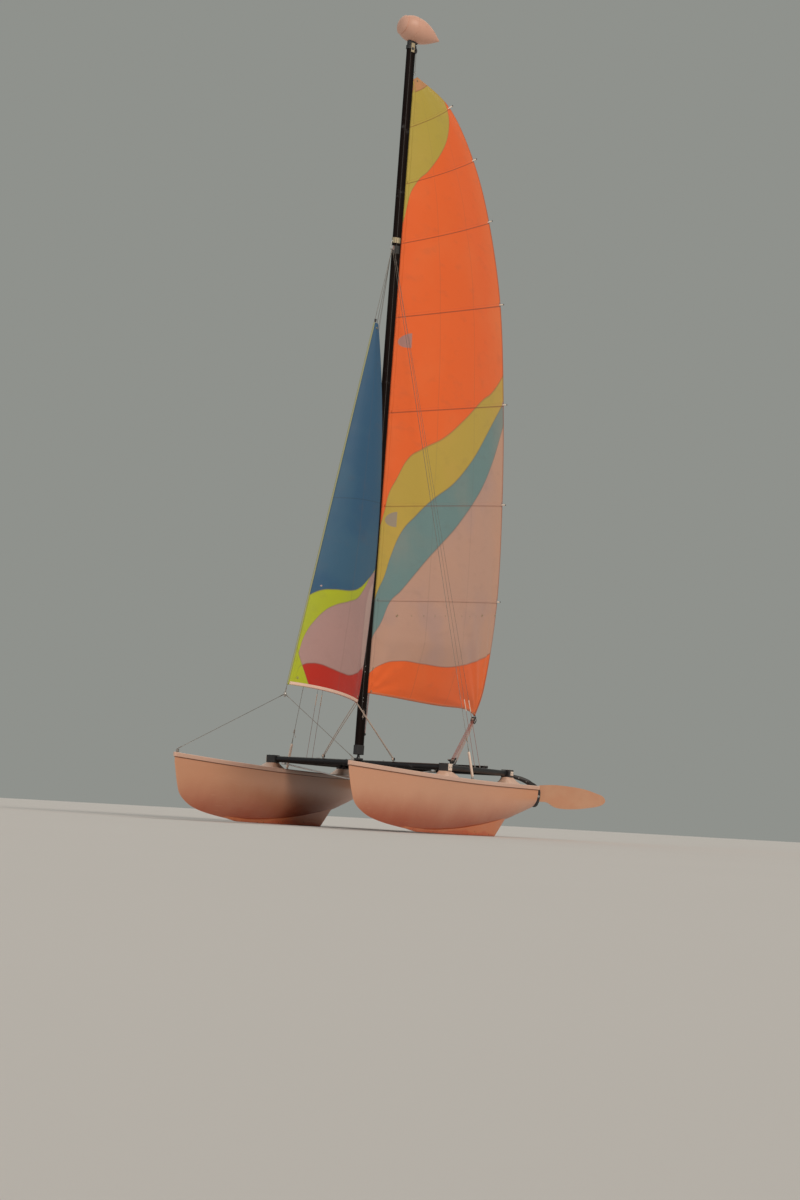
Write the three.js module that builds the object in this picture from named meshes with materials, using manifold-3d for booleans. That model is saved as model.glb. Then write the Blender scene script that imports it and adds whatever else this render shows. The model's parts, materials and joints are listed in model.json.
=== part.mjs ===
// A beach catamaran, sixteen foot class, standing on its two keels with its sails hoisted and its
// rudders kicked up. Millimetres. Boat frame: +X forward, +Y port, +Z up, X = 0 at half length,
// Y = 0 on the centreline, Z = 0 at the floor.
import * as THREE from "three";
import { mergeVertices } from "three/addons/utils/BufferGeometryUtils.js";
import Module from "manifold-3d";

const wasm = await Module();
wasm.setup();

// Driving dimensions
const SEAT_GAP = 0.3; // between pieces that touch
const HULL_LENGTH = 5000;
const BOW_X = HULL_LENGTH / 2;
const TRANSOM_X = -HULL_LENGTH / 2;
const STERN_SHEER_Z = 565;
const BOW_SHEER_RISE = 88; // how much the bow stands above the stern
const SHEER_RISE_END = 3900; // aft of the bow, where the sheer goes level
const BOW_HALF_SPREAD = 985; // centreline to stem
const OUTER_HALF_BEAM = 1190; // centreline to the outboard topside
const OUTER_CURVE_END = 2600; // aft of the bow, where the outboard side goes straight
const OUTER_CURVE_POWER = 2.2;
const KEEL_SHARE = 0.6; // the keel line lies this share of the width outboard of the inboard side
const LIP_OVERHANG_OUT = 15;
const LIP_OVERHANG_IN = 12;
const DECK_DEPTH = 45;

const FRAME_Z = 725; // middle of the crossbars and side rails
const FRONT_BAR_X = 50;
const REAR_BAR_X = -1860;
const CROSSBAR = { wide: 95, high: 66 };
const SIDE_RAIL = { wide: 46, high: 62 };
const RAIL_Y = 1035;
const CASTING = { long: 130, wide: 112, high: 84, corner: 16 };
const SOCKET_DEPTH = { crossbar: 32, rail: 15 };

const MAST_STEP = new THREE.Vector3(FRONT_BAR_X, 0, 800);
const MAST_RAKE = THREE.MathUtils.degToRad(2.5);
const MAST_LENGTH = 8080;
const MAST_SECTION = { long: 112, wide: 66 };
const MAST_TURN = THREE.MathUtils.degToRad(35); // the mast's groove looks this far to port of aft
const STEP_BALL = 16;
const HOUNDS_UP = 5700; // along the mast from its step
const APEX_AHEAD = 110; // the stays meet this far ahead of the mast's axis

const SAIL_THICK = 6;

const BRIDLE_APEX = new THREE.Vector3(2020, 0, 1360);
const CHAINPLATE = new THREE.Vector3(-530, 1130, 0);
const STAY_RADIUS = 2.5;
const SLEEVE_RADIUS = 11;
const SLEEVE_LENGTH = 280;

const PINTLE = { x: TRANSOM_X - 70, y: 1070 };
const RUDDER_TURN = THREE.MathUtils.degToRad(-60); // both rudders rest hard over
const KICK_PIVOT = { aft: 95, z: 490, clear: 61, pin: 7 };
const BLADE_THICK = 22;
const TILLER_REACH = 570;
const TILLER_END_Z = 782;
const TIE_BAR_RADIUS = 14;

// Finishes
const finish = (color, roughness, metalness = 0) =>
  new THREE.MeshStandardMaterial({ color, roughness, metalness });
const CREAM_GELCOAT = finish(0xe9d3b8, 0.35);
const BLACK_ALLOY = finish(0x17181a, 0.4, 0.6);
const BLACK_MOULDING = finish(0x1b1b1c, 0.6);
const STEEL = finish(0xb8bcc0, 0.3, 0.9);
const MESH_CLOTH = finish(0x141416, 0.9);
const WHITE_PLASTIC = finish(0xe6e2da, 0.5);
const ORANGE_CLOTH = finish(0xef6a35, 0.8);
const BLUE_CLOTH = finish(0x3a7fb4, 0.8);

// Geometry helpers

const vec = (x, y, z) => new THREE.Vector3(x, y, z);

// The point at that distance from one point towards another, or away from it when negative.
const along = (from, to, distance) =>
  from.clone().add(to.clone().sub(from).normalize().multiplyScalar(distance));

// Turns the triangles round when the closed shape is inside out.
function facingOut(geometry) {
  const p = geometry.attributes.position;
  const index = geometry.index.array;
  const [a, b, c] = [vec(), vec(), vec()];
  let volume = 0;
  for (let i = 0; i < index.length; i += 3) {
    a.fromBufferAttribute(p, index[i]);
    b.fromBufferAttribute(p, index[i + 1]);
    c.fromBufferAttribute(p, index[i + 2]);
    volume += a.dot(b.cross(c));
  }
  if (volume < 0) {
    for (let i = 0; i < index.length; i += 3) {
      [index[i + 1], index[i + 2]] = [index[i + 2], index[i + 1]];
    }
  }
  return geometry;
}

function geometryFrom(points, triangles) {
  const geometry = new THREE.BufferGeometry().setFromPoints(points);
  geometry.setIndex(triangles.flat());
  return facingOut(geometry);
}

// A closed shape through a row of closed sections that all have the same number of points.
function loft(sections) {
  const count = sections[0].length;
  const points = sections.flat();
  const triangles = [];
  for (let s = 0; s + 1 < sections.length; s++) {
    for (let i = 0; i < count; i++) {
      const j = (i + 1) % count;
      const [a, b] = [s * count + i, s * count + j];
      triangles.push([a, b, b + count], [a, b + count, a + count]);
    }
  }
  for (const [section, flip] of [[0, true], [sections.length - 1, false]]) {
    const middle = sections[section]
      .reduce((sum, p) => sum.add(p), vec(0, 0, 0))
      .divideScalar(count);
    const centre = points.push(middle) - 1;
    for (let i = 0; i < count; i++) {
      const [a, b] = [section * count + i, section * count + ((i + 1) % count)];
      triangles.push(flip ? [centre, b, a] : [centre, a, b]);
    }
  }
  return geometryFrom(points, triangles);
}

// A thin closed sheet through a grid of points, half its thickness to each side.
function sheet(grid, thickness) {
  const [rows, cols] = [grid.length, grid[0].length];
  const at = (r, c) =>
    grid[THREE.MathUtils.clamp(r, 0, rows - 1)][THREE.MathUtils.clamp(c, 0, cols - 1)];
  const faces = [1, -1].map((side) =>
    grid.flatMap((row, r) =>
      row.map((p, c) => {
        const across = at(r, c + 1).clone().sub(at(r, c - 1));
        const along = at(r + 1, c).clone().sub(at(r - 1, c));
        return across.cross(along).setLength((side * thickness) / 2).add(p);
      }),
    ),
  );
  const under = rows * cols;
  const triangles = [];
  for (let r = 0; r + 1 < rows; r++) {
    for (let c = 0; c + 1 < cols; c++) {
      const [a, d] = [r * cols + c, (r + 1) * cols + c];
      const [b, e] = [a + 1, d + 1];
      triangles.push([a, b, e], [a, e, d]);
      triangles.push([under + a, under + e, under + b], [under + a, under + d, under + e]);
    }
  }
  const rim = [];
  for (let c = 0; c < cols - 1; c++) rim.push(c);
  for (let r = 0; r < rows - 1; r++) rim.push(r * cols + cols - 1);
  for (let c = cols - 1; c > 0; c--) rim.push((rows - 1) * cols + c);
  for (let r = rows - 1; r > 0; r--) rim.push(r * cols);
  rim.forEach((a, i) => {
    const b = rim[(i + 1) % rim.length];
    triangles.push([a, under + a, under + b], [a, under + b, b]);
  });
  return geometryFrom(faces.flat(), triangles);
}

function solidOf(geometry) {
  const bare = geometry.clone();
  bare.deleteAttribute("normal");
  bare.deleteAttribute("uv");
  const merged = mergeVertices(bare, 1e-3);
  return new wasm.Manifold(
    new wasm.Mesh({
      numProp: 3,
      vertProperties: merged.attributes.position.array,
      triVerts: new Uint32Array(merged.index.array),
    }),
  );
}

function geometryOf(solid) {
  const { vertProperties, triVerts } = solid.getMesh();
  return new THREE.BufferGeometry()
    .setAttribute("position", new THREE.BufferAttribute(vertProperties, 3))
    .setIndex(new THREE.BufferAttribute(triVerts, 1));
}

const join = (...pieces) => geometryOf(pieces.map(solidOf).reduce((a, b) => a.add(b)));
const cut = (base, ...tools) =>
  geometryOf(tools.map(solidOf).reduce((a, b) => a.subtract(b), solidOf(base)));

// The same shape on the other side of the centreline.
function mirrored(geometry) {
  const copy = geometry.index ? geometry.clone() : mergeVertices(geometry.clone());
  copy.scale(1, -1, 1);
  return facingOut(copy);
}

function block(lengthX, lengthY, lengthZ, centre) {
  return new THREE.BoxGeometry(lengthX, lengthY, lengthZ).translate(centre.x, centre.y, centre.z);
}

function roundedOutline(long, wide, corner) {
  const [x, y] = [long / 2, wide / 2];
  const shape = new THREE.Shape();
  shape.moveTo(-x + corner, -y);
  shape.lineTo(x - corner, -y);
  shape.absarc(x - corner, -y + corner, corner, -Math.PI / 2, 0);
  shape.lineTo(x, y - corner);
  shape.absarc(x - corner, y - corner, corner, 0, Math.PI / 2);
  shape.lineTo(-x + corner, y);
  shape.absarc(-x + corner, y - corner, corner, Math.PI / 2, Math.PI);
  shape.lineTo(-x, -y + corner);
  shape.absarc(-x + corner, -y + corner, corner, Math.PI, 1.5 * Math.PI);
  return shape;
}

// A plate or bar of a flat outline, its thickness centred on the outline's plane.
function plate(shape, thickness, curveSegments = 4) {
  return new THREE.ExtrudeGeometry(shape, { depth: thickness, bevelEnabled: false, curveSegments })
    .translate(0, 0, -thickness / 2);
}

// A straight round rod between two points; the second radius is at the far end.
function rod(from, to, radius, sides = 10, farRadius = radius) {
  const along = to.clone().sub(from);
  const turn = new THREE.Quaternion().setFromUnitVectors(vec(0, 1, 0), along.clone().normalize());
  const middle = from.clone().add(to).divideScalar(2);
  return new THREE.CylinderGeometry(farRadius, radius, along.length(), sides)
    .applyQuaternion(turn)
    .translate(middle.x, middle.y, middle.z);
}

// An oval bar lying along Y, or along X when turned.
function ovalBar(wide, high, length, centre, alongX = false) {
  const bar = new THREE.CylinderGeometry(0.5, 0.5, 1, 20).scale(wide, length, high);
  if (alongX) bar.rotateZ(Math.PI / 2);
  return bar.translate(centre.x, centre.y, centre.z);
}

// Catmull-Rom interpolation down the columns of a table of numbers, with steps rows between two of
// its rows.
function refine(rows, steps) {
  const curve = (column, t) => {
    const i = Math.min(Math.floor(t), rows.length - 2);
    const s = t - i;
    const [p0, p1, p2, p3] = [-1, 0, 1, 2].map(
      (k) => rows[THREE.MathUtils.clamp(i + k, 0, rows.length - 1)][column],
    );
    return 0.5 * (2 * p1 + (p2 - p0) * s + (2 * p0 - 5 * p1 + 4 * p2 - p3) * s * s
      + (3 * p1 - p0 - 3 * p2 + p3) * s * s * s);
  };
  const out = [];
  for (let k = 0; k <= (rows.length - 1) * steps; k++) {
    out.push(rows[0].map((_, column) => curve(column, k / steps)));
  }
  return out;
}

const boat = new THREE.Group();
boat.name = "sailing_catamaran";

function add(parent, name, geometry, material) {
  const mesh = new THREE.Mesh(geometry, material);
  mesh.name = name;
  parent.add(mesh);
  return mesh;
}

const SIDES = [["port", (g) => g], ["starboard", mirrored]];

// Hulls: asymmetric, nearly flat outboard and full inboard, with a thin skeg run out of the keel.

const sheerZ = (aft) =>
  STERN_SHEER_Z + BOW_SHEER_RISE * Math.max(0, 1 - aft / SHEER_RISE_END) ** 2;

function outboardY(aft) {
  const run = THREE.MathUtils.clamp(aft / OUTER_CURVE_END, 0, 1);
  return BOW_HALF_SPREAD + (OUTER_HALF_BEAM - BOW_HALF_SPREAD) * (1 - (1 - run) ** OUTER_CURVE_POWER);
}

// Columns: aft of the bow, height of the canoe body's keel, inboard side at the sheer.
const HULL_STATIONS = [
  [6, 590, 978],
  [30, 530, 974],
  [80, 410, 969],
  [160, 285, 963],
  [300, 210, 952],
  [500, 147, 937],
  [780, 100, 920],
  [1100, 66, 906],
  [1500, 36, 894],
  [2000, 22, 887],
  [2600, 40, 885],
  [3300, 90, 895],
  [4190, 195, 935],
  [4600, 275, 975],
  [HULL_LENGTH, 360, 1020],
];
// Share of the depth above the keel; the belly is fullest outboard.
const SECTION_HEIGHTS = [0, 0.05, 0.14, 0.3, 0.52, 0.76, 1];
const OUTBOARD_FULLNESS = 3.4;
const INBOARD_FULLNESS = 2.5;
const keelY = (aft, inboard) => inboard + KEEL_SHARE * (outboardY(aft) - inboard);

function hullSection([aft, keel, inboard]) {
  const [sheer, outboard, middle] = [sheerZ(aft), outboardY(aft), keelY(aft, inboard)];
  const point = (share, side, fullness) => {
    const reach = (side - middle) * (1 - (1 - share) ** fullness);
    return vec(BOW_X - aft, middle + reach, keel + (sheer - keel) * share);
  };
  const inner = SECTION_HEIGHTS.slice(1).reverse().map((s) => point(s, inboard, INBOARD_FULLNESS));
  const outer = SECTION_HEIGHTS.map((s) => point(s, outboard, OUTBOARD_FULLNESS));
  return [...inner, ...outer];
}

// Columns: aft of the bow, underside of the skeg, half thickness, how far it is let into the hull.
const SKEG_STATIONS = [
  [1250, 58, 5, 20],
  [1650, 12, 11, 40],
  [2200, 5, 14, 50],
  [2800, 2, 14, 60],
  [3400, 0, 14, 60],
  [3910, 0, 13, 60],
  [4190, 190, 9, 25],
];

// A height or width that the loft runs straight between the hull's stations, at any distance aft.
function betweenStations(aft, valueAt) {
  const next = Math.max(1, HULL_STATIONS.findIndex((row) => row[0] >= aft));
  const [a, b] = [HULL_STATIONS[next - 1], HULL_STATIONS[next]];
  return THREE.MathUtils.mapLinear(aft, a[0], b[0], valueAt(a), valueAt(b));
}

function skegSection([aft, bottom, half, letIn]) {
  const y = keelY(aft, betweenStations(aft, (row) => row[2]));
  const top = Math.max(betweenStations(aft, (row) => row[1]), bottom) + letIn;
  return [[-half, bottom], [half, bottom], [half, top], [-half, top]]
    .map(([dy, z]) => vec(BOW_X - aft, y + dy, z));
}

const portHull = join(loft(HULL_STATIONS.map(hullSection)), loft(SKEG_STATIONS.map(skegSection)));

// Decks: a moulding with a lip over the hull's edge.

const deckTop = (aft) => sheerZ(aft) + DECK_DEPTH;
const deckSurface = (aft) => betweenStations(aft, (row) => deckTop(row[0]));

function deckSection(aft, inboard, outboard) {
  const [low, high] = [sheerZ(aft) + SEAT_GAP, deckTop(aft)];
  const bevel = Math.min(12, (outboard - inboard) / 4);
  return [
    [inboard, low], [outboard, low], [outboard, high - bevel], [outboard - bevel, high],
    [inboard + bevel, high], [inboard, high - bevel],
  ].map(([y, z]) => vec(BOW_X - aft, y, z));
}

const deckStations = HULL_STATIONS.map(([aft, , inboard]) =>
  deckSection(aft, inboard - LIP_OVERHANG_IN, outboardY(aft) + LIP_OVERHANG_OUT));
const BOW_NOSE = deckSection(-12, BOW_HALF_SPREAD - 9, BOW_HALF_SPREAD + 9);
const STERN_LIP = 8;
const portDeck = loft([
  BOW_NOSE,
  ...deckStations,
  deckSection(HULL_LENGTH + STERN_LIP, 1020 - LIP_OVERHANG_IN, OUTER_HALF_BEAM + LIP_OVERHANG_OUT),
]);

for (const [side, onSide] of SIDES) {
  add(boat, `${side}_hull`, onSide(portHull), CREAM_GELCOAT);
  add(boat, `${side}_deck`, onSide(portDeck), CREAM_GELCOAT);
}

// Pylons: a hollow-flanked foot on the deck under each corner of the frame.

const PYLON_TOP_Z = FRAME_Z - CASTING.high / 2;
// Columns: height, length, width, how far the middle lies aft of the casting's, distance off the
// centreline.
const pylonLevels = (deck) => [
  [deck - 20, 440, 200, 10, 1050],
  [deck + 6, 400, 180, 8, 1050],
  [deck + 35, 290, 132, 4, 1046],
  [PYLON_TOP_Z - SEAT_GAP, 190, 96, 0, RAIL_Y],
];

function pylon(barX) {
  const deck = deckTop(BOW_X - barX);
  const body = loft(pylonLevels(deck).map(([z, long, wide, aft, y]) =>
    roundedOutline(long, wide, wide * 0.35).getPoints(3)
      .slice(0, -1)
      .map((p) => vec(barX - aft + p.x, y + p.y, z))));
  return cut(body, portDeck.clone().translate(0, 0, SEAT_GAP));
}

// Frame: corner castings with sockets, two crossbars, two side rails.

const BAR_LENGTH = 2 * (RAIL_Y - CASTING.wide / 2 + SOCKET_DEPTH.crossbar);
const RAIL_LENGTH = FRONT_BAR_X - REAR_BAR_X - CASTING.long + 2 * SOCKET_DEPTH.rail;
const BARS = [["front", FRONT_BAR_X], ["rear", REAR_BAR_X]];
const railMiddle = vec((FRONT_BAR_X + REAR_BAR_X) / 2, RAIL_Y, FRAME_Z);

function crossbar(x, slack = 0) {
  return ovalBar(CROSSBAR.wide + slack, CROSSBAR.high + slack, BAR_LENGTH + slack, vec(x, 0, FRAME_Z));
}

function sideRail(slack = 0) {
  return ovalBar(SIDE_RAIL.wide + slack, SIDE_RAIL.high + slack, RAIL_LENGTH + slack, railMiddle, true);
}

for (const [end, x] of BARS) {
  const cornerPylon = pylon(x);
  const casting = cut(
    plate(roundedOutline(CASTING.long, CASTING.wide, CASTING.corner), CASTING.high)
      .translate(x, RAIL_Y, FRAME_Z),
    crossbar(x, 2 * SEAT_GAP),
    sideRail(2 * SEAT_GAP),
  );
  add(boat, `${end}_crossbar`, crossbar(x), BLACK_ALLOY);
  for (const [side, onSide] of SIDES) {
    add(boat, `${side}_${end}_pylon`, onSide(cornerPylon), CREAM_GELCOAT);
    add(boat, `${side}_${end}_casting`, onSide(casting), BLACK_MOULDING);
  }
}
for (const [side, onSide] of SIDES) {
  add(boat, `${side}_side_rail`, onSide(sideRail()), BLACK_ALLOY);
}

// Trampoline: one taut mesh sheet from bar to bar and from rail to rail, notched round the castings.

const TRAMPOLINE_THICK = 6;
const trampolineHalf = {
  x: (FRONT_BAR_X - REAR_BAR_X - CROSSBAR.wide) / 2 - SEAT_GAP,
  y: RAIL_Y - SIDE_RAIL.wide / 2 - SEAT_GAP,
};
const notch = {
  x: trampolineHalf.x - (CASTING.long - CROSSBAR.wide) / 2 - SEAT_GAP,
  y: RAIL_Y - CASTING.wide / 2 - SEAT_GAP,
};
const trampolineCorner = [[trampolineHalf.x, notch.y], [notch.x, notch.y], [notch.x, trampolineHalf.y]];
const trampolineOutline = new THREE.Shape([
  ...trampolineCorner,
  ...trampolineCorner.map(([x, y]) => [-x, y]).reverse(),
  ...trampolineCorner.map(([x, y]) => [-x, -y]),
  ...trampolineCorner.map(([x, y]) => [x, -y]).reverse(),
].map(([x, y]) => new THREE.Vector2(x, y)));
add(boat, "trampoline",
  plate(trampolineOutline, TRAMPOLINE_THICK).translate(railMiddle.x, 0, FRAME_Z), MESH_CLOTH);

// Under the front crossbar: a post and a bent tension rod; on top of it: the mast step with its ball.

const BAR_TOP_Z = FRAME_Z + CROSSBAR.high / 2;
const BAR_UNDER_Z = FRAME_Z - CROSSBAR.high / 2;
const STRIKER = { drop: 165, half: 900, rod: 7, post: 16 };
const strikerFoot = vec(FRONT_BAR_X, 0, BAR_UNDER_Z - STRIKER.drop);
const strikerEnds = [1, -1].map((s) => vec(FRONT_BAR_X, s * STRIKER.half, BAR_UNDER_Z - 13));
const striker = join(
  rod(strikerFoot, vec(FRONT_BAR_X, 0, BAR_UNDER_Z - SEAT_GAP), STRIKER.post, 12),
  new THREE.SphereGeometry(STRIKER.post, 12, 8).translate(...strikerFoot.toArray()),
  ...strikerEnds.map((end) => rod(strikerFoot, end, STRIKER.rod, 8)),
  ...strikerEnds.map((end) => block(40, 40, 24, end.clone().add(vec(0, 0, 1 - SEAT_GAP)))),
);
add(boat, "dolphin_striker", striker, STEEL);

const STEP_BASE = { long: 110, wide: 78, high: 18 };
const stepTop = BAR_TOP_Z + SEAT_GAP + STEP_BASE.high;
add(boat, "mast_step", join(
  plate(roundedOutline(STEP_BASE.long, STEP_BASE.wide, 12), STEP_BASE.high)
    .translate(FRONT_BAR_X, 0, stepTop - STEP_BASE.high / 2),
  rod(vec(FRONT_BAR_X, 0, stepTop - 4), MAST_STEP, STEP_BALL * 1.6, 16, STEP_BALL * 0.8),
  new THREE.SphereGeometry(STEP_BALL, 16, 12).translate(...MAST_STEP.toArray()),
), BLACK_MOULDING);

// Mainsheet traveller on the rear crossbar.

const TRACK = { long: 1500, wide: 24, high: 9 };
const CAR = { x: 70, y: 90, high: 26, side: 350 };
add(boat, "traveller_track", block(TRACK.wide, TRACK.long, TRACK.high,
  vec(REAR_BAR_X, 0, BAR_TOP_Z + SEAT_GAP + TRACK.high / 2)), BLACK_ALLOY);
const carBottom = BAR_TOP_Z + 2 * SEAT_GAP + TRACK.high;
add(boat, "traveller_car", plate(roundedOutline(CAR.x, CAR.y, 14), CAR.high)
  .translate(REAR_BAR_X, CAR.side, carBottom + CAR.high / 2), BLACK_MOULDING);

// Blocks of the mainsheet: round cheeks in one solid, with the axle across.
const BLOCK = { radius: 34, wide: 44, high: 96 };
function sheetBlock(bottom, lean) {
  const outline = new THREE.Shape();
  const reach = BLOCK.high - 2 * BLOCK.radius;
  outline.absarc(0, BLOCK.radius, BLOCK.radius, Math.PI, 2 * Math.PI);
  outline.absarc(0, BLOCK.radius + reach, BLOCK.radius, 0, Math.PI);
  return plate(outline, BLOCK.wide, 8).rotateX(Math.PI / 2).rotateY(lean).translate(...bottom.toArray());
}
const SHEET_LEAN = THREE.MathUtils.degToRad(-48); // the tackle runs up and aft to the mainsail's clew
const leanRise = BLOCK.radius * (1 - Math.cos(SHEET_LEAN));
const lowerBlockFoot = vec(REAR_BAR_X, CAR.side, carBottom + CAR.high + SEAT_GAP + leanRise);
add(boat, "mainsheet_lower_block", sheetBlock(lowerBlockFoot, SHEET_LEAN), BLACK_MOULDING);

// Rig frame: origin at the mast's ball, +Z up the mast, +X forward, +Y port.

const rig = new THREE.Group();
rig.position.copy(MAST_STEP);
rig.rotation.y = -MAST_RAKE;
boat.add(rig);
rig.updateMatrix();
const rigToBoat = (p) => p.clone().applyMatrix4(rig.matrix);

const mastTurned = new THREE.Group();
mastTurned.rotation.z = -MAST_TURN;
rig.add(mastTurned);

function mastOutline(slack = 0) {
  const shape = new THREE.Shape();
  shape.absellipse(0, 0, MAST_SECTION.long / 2 + slack, MAST_SECTION.wide / 2 + slack, 0, 2 * Math.PI);
  return shape;
}
const MAST_FOOT = STEP_BALL + SEAT_GAP;
const mastBody = (slack, from, to) =>
  new THREE.ExtrudeGeometry(mastOutline(slack), {
    depth: to - from, bevelEnabled: false, curveSegments: 20,
  }).translate(0, 0, from);
add(mastTurned, "mast", mastBody(0, MAST_FOOT, MAST_LENGTH), BLACK_ALLOY);

// Masthead: a crane casting and the teardrop float, whose tip looks aft and a little down.
const BRACKET = { high: 70, long: 92, wide: 56 };
const FLOAT = { long: 550, radius: 148, aft: 51, droop: THREE.MathUtils.degToRad(9) };
add(mastTurned, "masthead_bracket", block(BRACKET.long, BRACKET.wide, BRACKET.high,
  vec(0, 0, MAST_LENGTH + SEAT_GAP + BRACKET.high / 2)), BLACK_MOULDING);

// Columns: share of the length from the blunt end, share of the full radius.
const FLOAT_PROFILE = [
  [0, 0], [0.02, 0.34], [0.07, 0.62], [0.16, 0.87], [0.3, 1], [0.45, 0.98],
  [0.62, 0.82], [0.78, 0.55], [0.91, 0.24], [0.97, 0.1], [1, 0],
];
const floatProfile = FLOAT_PROFILE.map(([along, share]) =>
  new THREE.Vector2(share * FLOAT.radius, (along - 0.42) * FLOAT.long));
const floatBody = new THREE.LatheGeometry(floatProfile, 20)
  .rotateZ(Math.PI / 2)
  .rotateY(-FLOAT.droop)
  .translate(-FLOAT.aft, 0, MAST_LENGTH + FLOAT.radius + 40);
add(mastTurned, "masthead_float",
  cut(floatBody, block(BRACKET.long + 1, BRACKET.wide + 1, BRACKET.high * 2,
    vec(0, 0, MAST_LENGTH + 2 * SEAT_GAP))), WHITE_PLASTIC);

const TANG = { high: 90, wall: 2.5 }; // a band round the fore part of the mast, clear of the luff groove
add(mastTurned, "hounds_tang", cut(
  mastBody(TANG.wall, HOUNDS_UP - TANG.high / 2, HOUNDS_UP + TANG.high / 2),
  mastBody(SEAT_GAP, HOUNDS_UP - TANG.high, HOUNDS_UP + TANG.high),
  block(MAST_SECTION.long, MAST_SECTION.long, 3 * TANG.high,
    vec(-MAST_SECTION.long * 0.7, 0, HOUNDS_UP)),
), STEEL);

// Mainsail, in the rig frame.

// The point that lies so far aft and up when the sail is turned this much to port.
const fromLuff = (reach, up, turn, side = 0) =>
  vec(-reach * Math.cos(turn) + side * Math.sin(turn), reach * Math.sin(turn) + side * Math.cos(turn), up);

// Mainsail rows. Columns: height up the mast, chord from the mast's axis, rise of the leech end,
// turn to port in degrees.
const MAIN_ROWS = [
  [701, 2609, 7, 7],
  [1030, 2640, 70, 9],
  [1740, 2600, 334, 11.5],
  [2800, 2500, 422, 12.5],
  [3860, 2348, 540, 13],
  [4950, 2136, 616, 13],
  [5800, 1780, 685, 13],
  [6490, 1370, 629, 13],
  [7150, 820, 443, 13],
  [7701, 150, 56, 13],
];
// The cambered edge meets the mast's groove at a slant.
const LUFF_AFT = MAST_SECTION.long / 2 + SAIL_THICK / 8 + SEAT_GAP;
const MAIN_CAMBER = 0.085; // of the chord, to port
const MAIN_ROW_STEPS = 3;
const SAIL_COLUMNS = 10;
const camber = (share) => 4 * share * (1 - share) * (1.25 - 0.5 * share); // fullest ahead of the middle

function mainPoint([up, chord, rise, degrees], share) {
  const turn = THREE.MathUtils.degToRad(degrees);
  const luff = fromLuff(LUFF_AFT, up, MAST_TURN);
  const leech = fromLuff(chord, up + rise, turn);
  const belly = fromLuff(0, 0, turn, camber(share) * MAIN_CAMBER * chord * mainFlattening(up));
  return luff.lerp(leech, share).add(belly).add(footLift(up, share));
}
const aboveFoot = (up) => up - MAIN_ROWS[0][0];
// The cloth flattens toward the foot.
const FOOT_CAMBER = { least: 0.5, rise: 1200 };
const mainFlattening = (up) => Math.min(FOOT_CAMBER.least + aboveFoot(up) / FOOT_CAMBER.rise, 1);
// The foot is loose, so that its after end lifts ahead of the clew.
const FOOT_LIFT = { size: 890, power: 6, fade: 330 };
const footLift = (up, share) => vec(0, 0, FOOT_LIFT.size * share ** FOOT_LIFT.power * (1 - share)
  * Math.max(1 - aboveFoot(up) / FOOT_LIFT.fade, 0) ** 2);

const shares = Array.from({ length: SAIL_COLUMNS + 1 }, (_, i) => i / SAIL_COLUMNS);
const mainGrid = refine(MAIN_ROWS, MAIN_ROW_STEPS)
  .map((row) => shares.map((share) => mainPoint(row, share)));

// Battens: each stands proud of the leech in an end cap. Values: the row of the table where each lies.
const BATTENS = [2, 3, 4, 5, 6, 7, 8];
const BATTEN_CAP = { radius: 7, inside: 0.03, proud: 85 };
const battenCaps = BATTENS.map((level) => {
  const row = refine(MAIN_ROWS, MAIN_ROW_STEPS)[level * MAIN_ROW_STEPS];
  const [inner, edge] = [mainPoint(row, 1 - BATTEN_CAP.inside), mainPoint(row, 1)];
  return rod(inner, along(edge, inner, -BATTEN_CAP.proud), BATTEN_CAP.radius, 6);
});
add(rig, "mainsail", join(sheet(mainGrid, SAIL_THICK), ...battenCaps), ORANGE_CLOTH);

// A shackle clasps the clew, and the tackle's upper block hangs from it, in line with the lower one.
const CLEW_SHACKLE = { radius: 9, inside: 24, outside: 30, block: 26, overlap: 6 };
const clew = mainGrid[0][SAIL_COLUMNS];
const footward = mainGrid[0][SAIL_COLUMNS - 1].clone().sub(clew).normalize();
const leechward = mainGrid[1][SAIL_COLUMNS].clone().sub(clew).normalize();
const intoSail = footward.clone().add(leechward).normalize();
const fromClew = (reach) => clew.clone().addScaledVector(intoSail, reach);
// The corner of the cloth that the shackle's slot clears.
const CORNER = { size: 45, past: 2 };
const clewCorner = sheet(
  [-CORNER.past, CORNER.size].map((up) => [CORNER.size, -CORNER.past].map((ahead) =>
    clew.clone().addScaledVector(footward, ahead).addScaledVector(leechward, up))),
  SAIL_THICK + 2 * SEAT_GAP,
);
const upTackle = vec(Math.sin(SHEET_LEAN), 0, Math.cos(SHEET_LEAN));
const upperBlockFoot = fromClew(-CLEW_SHACKLE.block)
  .addScaledVector(upTackle, CLEW_SHACKLE.overlap - BLOCK.high);
const clewShackle = rod(fromClew(-CLEW_SHACKLE.outside), fromClew(CLEW_SHACKLE.inside),
  CLEW_SHACKLE.radius, 12);
add(rig, "mainsheet_upper_block",
  cut(join(clewShackle, sheetBlock(upperBlockFoot, SHEET_LEAN)), clewCorner), BLACK_MOULDING);

// Standing rigging: forestay on a two-legged bridle, one shroud each side, all meeting ahead of the mast.

const staysApex = rigToBoat(vec(APEX_AHEAD, 0, HOUNDS_UP));
const APEX_FITTING = { radius: 26, wide: 30 };
const APEX_REACH = 20; // where a stay ends short of the shackle's middle
// The bridle plate, whose stays end this short of its middle.
const PLATE = { thick: 8, size: 56, boss: 20, reach: 14 };

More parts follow.
